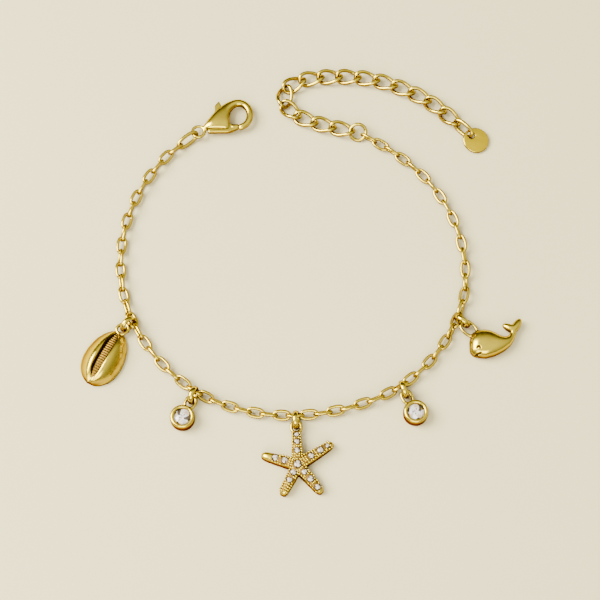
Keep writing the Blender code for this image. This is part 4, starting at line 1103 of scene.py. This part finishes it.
class BRACELET_OT_clasp(bpy.types.Operator):
    """Adds the lobster clasp with its lever, and the oval link that holds it"""

    bl_idname = "bracelet.add_clasp"
    bl_label = "Lobster clasp"

    def execute(self, context):
        sizes = context.scene.bracelet_sizes
        centre, _ = chain.route.at(0.0)
        centre.z = CLASP_THICKNESS / 2
        at = level_frame(centre, CLASP_BEARING)
        self.add_body(at, sizes.clasp_voxel / MM)
        self.add_lever(at, sizes.clasp_voxel / MM, sizes.lever_rounding / MM, sizes.gate_width / MM)
        self.add_link()
        return {"FINISHED"}

    def add_body(self, at, voxel):
        """Adds the domed body with its eye and its hook, slotted for the lever."""
        body = bmesh.new()
        half = CLASP_THICKNESS / 2
        outlines = [refine_loop(clasp_points(CLASP_BODY), OUTLINE_STEPS), hook_outline()]
        add_film(body, outlines, (half, half))
        add_loop(body, CLASP_EYE)
        body = cast(body, voxel, CLASP_POLISH)
        slot = bmesh.new()
        add_prism(slot, clasp_points(CLASP_SLOT_AREA), -CLASP_SLOT / 2, CLASP_SLOT / 2)
        body = cut(body, slot)
        add_piece("polished_clasp_body", body, at, [gold("clasp_gold_polish")],
                  ["clasp_body"], sharp=50.0)

    def add_lever(self, at, voxel, rounding, gate_width):
        """Adds the lever with its thumb tab, and the round end that shuts the hook."""
        lever = bmesh.new()
        outline = lever_outline()
        add_prism(lever, outline, -LEVER_THICKNESS / 2, LEVER_THICKNESS / 2)
        round_edges(lever, rounding, LEVER_ROUNDING_STEPS)
        tip_x = max(x for x, _ in outline)
        tip_y = sum(y for x, y in outline if x == tip_x) / 2
        root = Matrix.Translation((tip_x - GATE_ROOT[0], tip_y - GATE_ROOT[1], 0.0))
        level = Matrix.Rotation(GATE_TILT, 4, "Z") @ Matrix.Rotation(math.pi / 2, 4, "Y")
        profile = [(share * (gate_width / 2), place) for share, place in GATE_PROFILE]
        add_turned(lever, profile, GATE_SIDES, root @ level)
        lever = cast(lever, voxel, LEVER_POLISH)
        pivot = Matrix.Translation((*clasp_points([LEVER_PIVOT])[0], 0.0))
        add_piece("polished_clasp_lever", lever, at @ pivot, [gold("clasp_gold_polish")],
                  ["clasp_lever"], LEVER, 50.0)

    def add_link(self):
        """Adds the oval link, which slopes from the clasp's eye down to the chain."""
        centre, along = chain.route.at(chain.clasp_link_distance)
        side = raised_side(along, 180.0 - CLASP_LINK_ROLL)
        centre.z = (CLASP_THICKNESS / 2 + CHAIN_HEIGHT) / 2
        along.z = (CHAIN_HEIGHT - CLASP_THICKNESS / 2) / (CLASP_LINK[0] - CLASP_LINK[2])
        link = bmesh.new()
        add_loop(link, fuller(CLASP_LINK, LINK_SWELL))
        add_piece("polished_clasp_link", link, frame_at(centre, along, side),
                  [gold("ring_gold_polish")], ["clasp_link"])


class BRACELET_OT_extender(bpy.types.Operator):
    """Adds the connecting ring, the twisted links, the oval ring and the round end tag"""

    bl_idname = "bracelet.add_extender"
    bl_label = "Extender and tag"

    def execute(self, context):
        route = Route(EXTENDER_ROUTE, EXTENDER_HEIGHT)
        self.add_connecting_ring(route)
        end = self.add_links(route)
        centre, along = route.at(end + TAG_RING[0] / 2 - TAG_RING[2])
        self.add_tag_ring(centre, along)
        self.add_tag(centre, along, context.scene.bracelet_sizes.tag_rounding / MM)
        return {"FINISHED"}

    def add_connecting_ring(self, route):
        """Adds the ring where the chain ends and the extender starts."""
        centre, arriving = chain.route.at(chain.route.length)
        _, leaving = route.at(0.0)
        ring = bmesh.new()
        add_loop(ring, fuller(CONNECTING_RING, RING_SWELL))
        at = rolled_frame(centre, (arriving + leaving).normalized(), CONNECTING_RING_ROLL)
        add_piece("polished_connecting_ring", ring, at, [gold("ring_gold_polish")],
                  ["connecting_ring"])

    def add_links(self, route):
        """Adds the twisted links, each a stride on from the last, and tells where they end."""
        stride = EXTENDER_LINK[0] - 2 * EXTENDER_LINK[2] - EXTENDER_GAP
        distance = CONNECTING_RING[0] / 2 - CONNECTING_RING[2]
        for number in range(1, EXTENDER_LINKS + 1):
            start, _ = route.at(distance)
            distance = route.step(distance, stride)
            end, _ = route.at(distance)
            link = bmesh.new()
            add_loop(link, fuller(EXTENDER_LINK, LINK_SWELL), twist=EXTENDER_TWIST)
            at = rolled_frame((start + end) / 2, (end - start).normalized(), 0.0)
            add_piece(f"polished_link_{number:02d}", link, at, [gold("extender_gold_polish")],
                      [f"extender_link_{number:02d}"])
        return distance

    def add_tag_ring(self, centre, along):
        """Adds the oval ring that holds the tag, resting on its lower side."""
        lift = (TAG_RING[1] - TAG_RING[2]) / 2 * math.sin(math.radians(TAG_RING_ROLL))
        centre.z = lift + TAG_RING[2] / 2
        ring = bmesh.new()
        add_loop(ring, fuller(TAG_RING, LINK_SWELL))
        add_piece("polished_tag_ring", ring, rolled_frame(centre, along, TAG_RING_ROLL),
                  [gold("ring_gold_polish")], ["tag_ring"])

    def add_tag(self, ring_centre, along, rim_rounding):
        """Adds the round tag, tilted down from its ring, with satin faces and a polished rim."""
        tag = bmesh.new()
        add_prism(tag, circle(TAG_DIAMETER / 2, TAG_SIDES), -TAG_THICKNESS / 2, TAG_THICKNESS / 2)
        hole_place = TAG_DIAMETER / 2 - TAG_HOLE_EDGE - TAG_HOLE / 2
        hole = bmesh.new()
        rim = circle(TAG_HOLE / 2, TAG_HOLE_SIDES, (-hole_place, 0.0))
        add_prism(hole, rim, -TAG_THICKNESS, TAG_THICKNESS)
        item = temporary(cut(tag, hole))
        rounding = item.modifiers.new("Rounding", "BEVEL")
        rounding.width = rim_rounding
        rounding.segments = TAG_RIM_SEGMENTS
        rounding.limit_method = "ANGLE"
        tag = shaped(item)
        tag.normal_update()
        for face in tag.faces:
            face.material_index = int(abs(face.normal.z) < TAG_FLAT)
        tilt = math.radians(TAG_TILT)
        middle = ring_centre + (TAG_RING[0] / 2 - TAG_RING[2] / 2 + hole_place) * along
        middle.z = TAG_DIAMETER / 2 * math.sin(tilt) + TAG_THICKNESS / 2 * math.cos(tilt)
        bearing = math.degrees(math.atan2(along.y, along.x))
        at = level_frame(middle, bearing) @ Matrix.Rotation(tilt, 4, "Y")
        add_piece("satin_tag", tag, at, [gold("tag_gold_satin"), gold("ring_gold_polish")],
                  ["tag"], sharp=30.0)


class BRACELET_OT_jump_rings(bpy.types.Operator):
    """Adds the round ring that carries each charm"""

    bl_idname = "bracelet.add_jump_rings"
    bl_label = "Jump rings"

    def execute(self, context):
        for name in CHARMS:
            ring = bmesh.new()
            add_loop(ring, fuller(JUMP_RING, RING_SWELL), broad=JUMP_RING_BREADTH)
            at, _ = chain.charm_places(name)
            add_piece(f"polished_jump_ring_{name}", ring, at, [gold("ring_gold_polish")],
                      [f"jump_ring_{name}"])
        return {"FINISHED"}


def cowrie_lips(half_width, dome, slit):
    """Left and right lip across in mm, each kept a ledge away from the slit."""
    left, right = (
        [(across * half_width, COWRIE_RIM + dome * share)
         for across, share in refine(lip, OUTLINE_STEPS)]
        for lip in (COWRIE_LEFT_LIP, COWRIE_RIGHT_LIP)
    )
    left = [(min(y, -slit - COWRIE_LEDGE), z) for y, z in left]
    right = [(max(y, slit + COWRIE_LEDGE), z) for y, z in right]
    return left, right


def cowrie_slit(floor, slit, edge, depth, crest):
    """Slit across in mm: its floor with the teeth on it, between its two edges."""
    section = [(-slit, edge)]
    for share, fall in floor:
        toothed = COWRIE_TEETH[0] < share < COWRIE_TEETH[1]
        height = max(edge - depth * fall, COWRIE_LOWEST_FLOOR * COWRIE_RIM)
        section.append(((2 * share - 1) * COWRIE_FLOOR_WIDTH * slit, height + crest * toothed))
    return section + [(slit, edge)]


def cowrie_painted_shades(floor, first, count, is_deep, is_gap):
    """Finishes of the faces across, where the slit starts at the first of a count of points: painted
    shade in the slit.
    """
    shades = []
    for place in range(-1, count - 1):
        share = floor[min(max(place - first - 1, 0), len(floor) - 1)][0]
        sunken = is_deep and first <= place <= first + len(floor)
        dark = place > first and (share < COWRIE_GROOVE or is_gap)
        shades.append((RECESSED_PAINTED_SHADE if dark else SETTING_PAINTED_SHADE) if sunken else POLISHED)
    return shades[::-1]


class BRACELET_OT_cowrie(bpy.types.Operator):
    """Adds the cowrie shell with its two lips and the toothed slit between them"""

    bl_idname = "bracelet.add_cowrie"
    bl_label = "Cowrie shell"

    def execute(self, context):
        shape = bmesh.new()
        self.add_shell(shape, context.scene.bracelet_sizes)
        tip = Vector((eye_reach("cowrie") - EYE_WIRE / 2, 0.0, -EYE_HEIGHT))
        turn = Matrix.Translation(tip) @ Matrix.Rotation(math.radians(COWRIE_TURN), 4, "Z")
        bmesh.ops.transform(shape, matrix=turn, verts=shape.verts)
        add_eye(shape, "cowrie")
        _, at = chain.charm_places("cowrie")
        add_piece("polished_cowrie", shape, at, charm_gold(), ["cowrie"], sharp=55.0)
        return {"FINISHED"}

    def add_shell(self, shape, sizes):
        """Adds the shell, along x from its tip, as sections across it, with painted shade in its slit.
        """
        floor = refine(COWRIE_FLOOR, FLOOR_STEPS)
        side = COWRIE_EDGE * COWRIE_RIM
        rings, shades = [], []
        for along, width, dome_share, slit_share, depth_share in refine(COWRIE_FORM, COWRIE_STEPS):
            half_width = COWRIE_WIDTH / 2 * width
            dome = (COWRIE_HEIGHT - COWRIE_RIM) * dome_share
            slit = max(COWRIE_SLIT_WIDTH / 2 * slit_share, COWRIE_LEAST_SLIT)
            edge = COWRIE_RIM + COWRIE_SLIT_EDGE * dome
            wave = 0.5 - 0.5 * math.cos(math.tau * along * COWRIE_LENGTH / (sizes.tooth_pitch / MM))
            crest = sizes.tooth_height / MM * wave * depth_share
            left, right = cowrie_lips(half_width, dome, slit)
            middle = cowrie_slit(floor, slit, edge, sizes.slit_depth / MM * depth_share, crest)
            foot = half_width - COWRIE_BACK_INSET * width
            back = [(half_width, side), (foot, 0.0), (-foot, 0.0), (-half_width, side)]
            section = left + middle + right + back
            rings.append([Vector((along * COWRIE_LENGTH, y, z)) for y, z in reversed(section)])
            shades += cowrie_painted_shades(floor, len(left), len(section), depth_share > COWRIE_PAINTED_SHADE_FROM,
                                    wave < COWRIE_GAP_PAINTED_SHADE)
        add_loft(shape, rings)
        for face, shade in zip(shape.faces, shades):
            face.material_index = shade


class BRACELET_OT_bezels(bpy.types.Operator):
    """Adds the two bezel cups and their round cut stones"""

    bl_idname = "bracelet.add_bezels"
    bl_label = "Bezels and stones"

    def execute(self, context):
        sizes = context.scene.bracelet_sizes
        for side in ("left", "right"):
            name = f"bezel_{side}"
            _, at = chain.charm_places(name)
            reach = eye_reach(name) - EYE_WIRE / 4 + BEZEL_DIAMETER / 2
            cup = bmesh.new()
            add_turned(cup, BEZEL_PROFILE, BEZEL_SIDES)
            middle = Vector((reach, 0.0, -EYE_HEIGHT))
            bmesh.ops.translate(cup, vec=middle, verts=cup.verts)
            add_eye(cup, name)
            add_piece(f"polished_{name}", cup, at, [gold("charm_gold_polish")], [name])
            stone = bmesh.new()
            seat = middle + Vector((0.0, 0.0, STONE_GIRDLE_HEIGHT))
            add_brilliant(stone, seat, STONE_DIAMETER / 2, sizes.stone_crown / MM, STONE_PAVILION,
                          STONE_TURN)
            add_piece(f"cut_stone_{side}", stone, at, stone_tones("stone"),
                      [f"stone_{side}"], sharp=0.0)
        return {"FINISHED"}


def star_arm_size(share):
    """Half width and height of an arm at a share of its length."""
    half_width = STAR_ROOT[0] + (STAR_TIP[0] - STAR_ROOT[0]) * share ** STAR_ARM_TAPER
    return half_width, STAR_ROOT[1] + (STAR_TIP[1] - STAR_ROOT[1]) * share


def add_star_arm(mesh, middle, bearing, length):
    """Adds one arm with a flat back, rounded top and round tip."""
    section = [(-1.0, 0.0), (1.0, 0.0)]
    for step in range(ARM_SECTION_STEPS + 1):
        angle = math.pi * step / ARM_SECTION_STEPS
        across = math.copysign(abs(math.cos(angle)) ** STAR_SQUARENESS[0], math.cos(angle))
        top = (1.0 - STAR_SHOULDER) * math.sin(angle) ** STAR_SQUARENESS[1]
        section.append((across, STAR_SHOULDER + top))
    turn = Matrix.Rotation(math.radians(bearing), 3, "Z")
    rings = []
    for along, fullness in refine(STAR_ARM_FORM, OUTLINE_STEPS):
        half_width, height = star_arm_size(min(max(along, 0.0), 1.0))
        tall = height * (STAR_SHOULDER + (1.0 - STAR_SHOULDER) * fullness)
        ring = []
        for y, z in section:
            ring.append(middle + turn @ Vector((along * length, y * half_width * fullness, z * tall)))
        rings.append(ring)
    add_loft(mesh, rings)


class BRACELET_OT_starfish(bpy.types.Operator):
    """Adds the starfish, its small stones and the grains that hold them"""

    bl_idname = "bracelet.add_starfish"
    bl_label = "Starfish"

    def execute(self, context):
        sizes = context.scene.bracelet_sizes
        arm_length = STAR_ARM * STAR_ARMS[0][1]
        middle = Vector((eye_reach("starfish") - EYE_WIRE / 2 + arm_length, 0.0, -EYE_HEIGHT))
        star = bmesh.new()
        for bearing, share in STAR_ARMS:
            add_star_arm(star, middle, bearing + 180.0, STAR_ARM * share)
        add_eye(star, "starfish")
        star = cast(star, sizes.charm_voxel / MM, STAR_POLISH)
        for face in star.faces:
            self.shade(face, middle)
        grain = sizes.grain / MM / 2
        stones = bmesh.new()
        for number, (arm, share, diameter) in enumerate(STAR_STONES):
            bearing, arm_share = STAR_ARMS[arm]
            spot = middle + STAR_ARM * arm_share * share * bearing_direction(bearing + 180.0)
            spot.z = middle.z + star_arm_size(share)[1] - STAR_STONE_SINK
            form = [diameter * share for share in STAR_STONE_FORM]
            add_brilliant(stones, spot, *form, STAR_STONE_TURN * number)
            # Dark seat round the stone, painted as shade
            before = len(star.faces)
            seat = circle(0.5 * diameter + STAR_SEAT_MARGIN, STAR_SEAT_SIDES, spot.xy)
            add_prism(star, seat, spot.z - STAR_SEAT_DEPTH, spot.z + STAR_STONE_SINK)
            star.faces.ensure_lookup_table()
            for face in star.faces[before:]:
                face.material_index = RECESSED_PAINTED_SHADE
        self.add_grains(star, middle, grain, sizes.grain_pitch / MM)
        _, at = chain.charm_places("starfish")
        add_piece("set_starfish", star, at, charm_gold(), ["starfish"], sharp=50.0)
        add_piece("starfish_stones", stones, at, stone_tones("small_stone"), [],
                  sharp=0.0)
        return {"FINISHED"}

    def shade(self, face, middle):
        """Gives the top of the arms, as far as their stones go, a darker gold as painted shade."""
        spot = face.calc_center_median() - middle
        for arm, (bearing, arm_share) in enumerate(STAR_ARMS):
            out = bearing_direction(bearing + 180.0)
            along = spot.dot(out) / (STAR_ARM * arm_share)
            across = abs(spot.dot(Vector((-out.y, out.x, 0.0))))
            if 0.0 <= along < STAR_SETTING_ENDS[arm]:
                half_width, height = star_arm_size(along)
                if across < STAR_SETTING * half_width and spot.z > STAR_SETTING_HEIGHT * height:
                    face.material_index = SETTING_PAINTED_SHADE

    def add_grains(self, star, middle, grain, pitch):
        """Uneven rows of grains over the top of the arms wherever no stone sits."""
        hand = random.Random(GRAIN_SEED)
        stones = []
        for arm, share, diameter in STAR_STONES:
            bearing, arm_share = STAR_ARMS[arm]
            out = bearing_direction(bearing + 180.0)
            stones.append((STAR_ARM * arm_share * share * out, diameter / 2 + GRAIN_CLEARANCE * grain))
        for arm, (bearing, arm_share) in enumerate(STAR_ARMS):
            out = bearing_direction(bearing + 180.0)
            across = Vector((-out.y, out.x, 0.0))
            length = STAR_ARM * arm_share
            for step in range(1, int(STAR_SETTING_ENDS[arm] * length / pitch) + 1):
                half_width, height = star_arm_size(step * pitch / length)
                for row in range(-GRAIN_ROWS, GRAIN_ROWS + 1):
                    side = row * STAR_SETTING / GRAIN_ROWS
                    drift = [GRAIN_DRIFT * pitch * hand.uniform(-1.0, 1.0) for _ in range(2)]
                    spot = (step * pitch + drift[0]) * out + (side * half_width + drift[1]) * across
                    if all((spot - stone).length > reach for stone, reach in stones):
                        spot.z = height * (1.0 - STAR_FALL * side * side) - GRAIN_SINK * grain
                        add_ball(star, middle + spot, grain * hand.uniform(*GRAIN_SIZES))


def band(spine, half_widths):
    """Outline of a band of changing width along a level spine, with round ends."""
    left, right = [], []
    for index, centre in enumerate(spine):
        ahead = spine[min(index + 1, len(spine) - 1)]
        behind = spine[max(index - 1, 0)]
        square = (ahead - behind).normalized().to_3d().cross(UP).xy
        left.append(tuple(centre + half_widths[index] * square))
        right.append(tuple(centre - half_widths[index] * square))
    return left + right[::-1]


class BRACELET_OT_whale(bpy.types.Operator):
    """Adds the whale with its flukes and engraved face"""

    bl_idname = "bracelet.add_whale"
    bl_label = "Whale"

    def execute(self, context):
        sizes = context.scene.bracelet_sizes
        rise = WHALE_THICKNESS / (1.0 + WHALE_BACK)
        height = WHALE_BACK * rise
        nose = Vector((*WHALE_EYE, 0.0)) * -WHALE_LENGTH
        turn = Matrix.Rotation(math.radians(WHALE_TURN), 4, "Z") @ Matrix.Translation(nose)
        turn.translation.z = -EYE_HEIGHT
        rows = refine(WHALE_BODY, BAND_STEPS)
        spine = [WHALE_LENGTH * Vector((x, y)) for x, y, _ in rows]
        outlines = [band(spine, [WHALE_BELLY * depth for _, _, depth in rows])]
        for root, tip in WHALE_FLUKES:
            start, end = (WHALE_LENGTH * Vector(point) for point in (root, tip))
            rows = refine(WHALE_FLUKE_FORM, OUTLINE_STEPS)
            spine = [start.lerp(end, share) for share, _ in rows]
            outlines.append(band(spine, [WHALE_FLUKE * width for _, width in rows]))
        shape = bmesh.new()
        add_film(shape, outlines, (rise, height), height)
        bmesh.ops.transform(shape, matrix=turn, verts=shape.verts)
        add_eye(shape, "whale")
        shape = cast(shape, sizes.charm_voxel / MM, WHALE_POLISH)
        self.engrave(shape, turn, turn.translation.z + height + WHALE_FACE_LEVEL)
        _, at = chain.charm_places("whale")
        add_piece("polished_whale", shape, at, charm_gold(), ["whale"], sharp=60.0)
        return {"FINISHED"}

    def engrave(self, shape, turn, level):
        """Presses the lines of the face into the front, and paints them dark as shade."""
        spots = [turn @ Vector((WHALE_LENGTH * x, WHALE_LENGTH * y, 0.0))
                 for line in WHALE_FACE for x, y in refine(line, FACE_STEPS)]
        painted_shade_verts = set()
        for vertex in shape.verts:
            if vertex.co.z > level:
                apart = min((vertex.co.xy - spot.xy).length for spot in spots) / (WHALE_FACE_WIDTH / 2)
                if apart < 1.0:
                    vertex.co.z -= WHALE_FACE_DEPTH * (1.0 - apart ** 2)
                if apart < WHALE_FACE_PAINTED_SHADE:
                    painted_shade_verts.add(vertex)
        for face in shape.faces:
            if all(vertex in painted_shade_verts for vertex in face.verts):
                face.material_index = RECESSED_PAINTED_SHADE


class BRACELET_OT_stage(bpy.types.Operator):
    """Adds the pale surface, the soft studio light and the camera"""

    bl_idname = "bracelet.add_stage"
    bl_label = "Surface, light and camera"

    def execute(self, context):
        self.add_surface(context)
        self.add_lights(context)
        self.add_camera(context)
        return {"FINISHED"}

    def add_surface(self, context):
        size = context.scene.bracelet_sizes.floor_size
        shape = bmesh.new()
        bmesh.ops.create_grid(shape, x_segments=2, y_segments=2, size=size / 2)
        mesh = bpy.data.meshes.new("surface")
        shape.to_mesh(mesh)
        shape.free()
        material, tree, shader = new_material("pale_surface")
        colour = context.scene.bracelet_colours.surface
        cloud = add_noise(tree, SURFACE_SCALE, 4.0)
        dark = [SURFACE_DIMMING * value for value in colour]
        tree.links.new(tint(tree, cloud.outputs["Fac"], dark, colour), shader.inputs["Base Color"])
        shader.inputs["Roughness"].default_value = SURFACE_ROUGHNESS
        shader.inputs["Specular IOR Level"].default_value = SURFACE_SPECULAR
        mesh.materials.append(material)
        surface = bpy.data.objects.new("surface", mesh)
        surface.location.z = -SURFACE_DROP * MM
        context.collection.objects.link(surface)

    def add_lights(self, context):
        world = bpy.data.worlds.new("studio")
        context.scene.world = world
        world.use_nodes = True
        tree = world.node_tree
        background = tree.nodes["Background"]
        place = tree.nodes.new("ShaderNodeTexCoord")
        split = tree.nodes.new("ShaderNodeSeparateXYZ")
        tree.links.new(place.outputs["Generated"], split.inputs["Vector"])
        tones = []
        for axis, stops in (("Z", SKY_BY_HEIGHT), ("Y", SKY_BY_DEPTH)):
            halved = tree.nodes.new("ShaderNodeMapRange")
            halved.inputs["From Min"].default_value = -1.0
            tree.links.new(split.outputs[axis], halved.inputs["Value"])
            ramp = tree.nodes.new("ShaderNodeValToRGB")
            tree.links.new(halved.outputs["Result"], ramp.inputs["Fac"])
            elements = ramp.color_ramp.elements
            for index, (position, colour) in enumerate(stops):
                element = elements[index] if index < 2 else elements.new(position)
                element.position = position
                element.color = (*colour, 1.0)
            tones.append(ramp.outputs["Color"])
        multiply(tree, *tones, background.inputs["Color"])
        background.inputs["Strength"].default_value = 1.0
        for name, (location, width, height, power) in LIGHTS.items():
            light = bpy.data.lights.new(name, "AREA")
            light.shape = "RECTANGLE"
            light.size = width
            light.size_y = height
            light.energy = power
            light.color = LIGHT_COLOUR
            item = bpy.data.objects.new(name, light)
            item.location = location
            item.rotation_euler = (-Vector(location)).to_track_quat("-Z", "Y").to_euler()
            context.collection.objects.link(item)

    def add_camera(self, context):
        camera = bpy.data.cameras.new("camera")
        camera.lens = CAMERA_LENS
        camera.sensor_width = CAMERA_SENSOR
        camera.clip_start = 0.01
        item = bpy.data.objects.new("camera", camera)
        angle = math.radians(CAMERA_ELEVATION)
        away = CAMERA_DISTANCE * Vector((0.0, -math.cos(angle), math.sin(angle)))
        item.location = MM * (Vector(CAMERA_TARGET) + away)
        item.rotation_euler = (math.pi / 2 - angle, 0.0, 0.0)
        context.collection.objects.link(item)
        context.scene.camera = item


PIECES = (
    BRACELET_OT_chain, BRACELET_OT_clasp, BRACELET_OT_extender, BRACELET_OT_jump_rings,
    BRACELET_OT_cowrie, BRACELET_OT_bezels, BRACELET_OT_starfish, BRACELET_OT_whale,
    BRACELET_OT_stage,
)


class BRACELET_PT_pieces(bpy.types.Panel):
    """Lists the bracelet's pieces, sizes and colours"""

    bl_idname = "BRACELET_PT_pieces"
    bl_label = "Charm bracelet"
    bl_space_type = "VIEW_3D"
    bl_region_type = "UI"
    bl_category = "Bracelet"

    def draw(self, context):
        for piece in PIECES:
            self.layout.operator(piece.bl_idname)
        for group in (context.scene.bracelet_sizes, context.scene.bracelet_colours):
            box = self.layout.box()
            for name in group.__annotations__:
                box.prop(group, name)


CLASSES = (BraceletSizes, BraceletColours, *PIECES, BRACELET_PT_pieces)


def register():
    for item in CLASSES:
        bpy.utils.register_class(item)
    bpy.types.Scene.bracelet_sizes = PointerProperty(type=BraceletSizes)
    bpy.types.Scene.bracelet_colours = PointerProperty(type=BraceletColours)


def unregister():
    del bpy.types.Scene.bracelet_colours
    del bpy.types.Scene.bracelet_sizes
    for item in reversed(CLASSES):
        bpy.utils.unregister_class(item)


def main():
    register()
    bpy.ops.bracelet.add_chain()
    bpy.ops.bracelet.add_clasp()
    bpy.ops.bracelet.add_extender()
    bpy.ops.bracelet.add_jump_rings()
    bpy.ops.bracelet.add_cowrie()
    bpy.ops.bracelet.add_bezels()
    bpy.ops.bracelet.add_starfish()
    bpy.ops.bracelet.add_whale()
    bpy.ops.bracelet.add_stage()


if __name__ == "__main__":
    main()
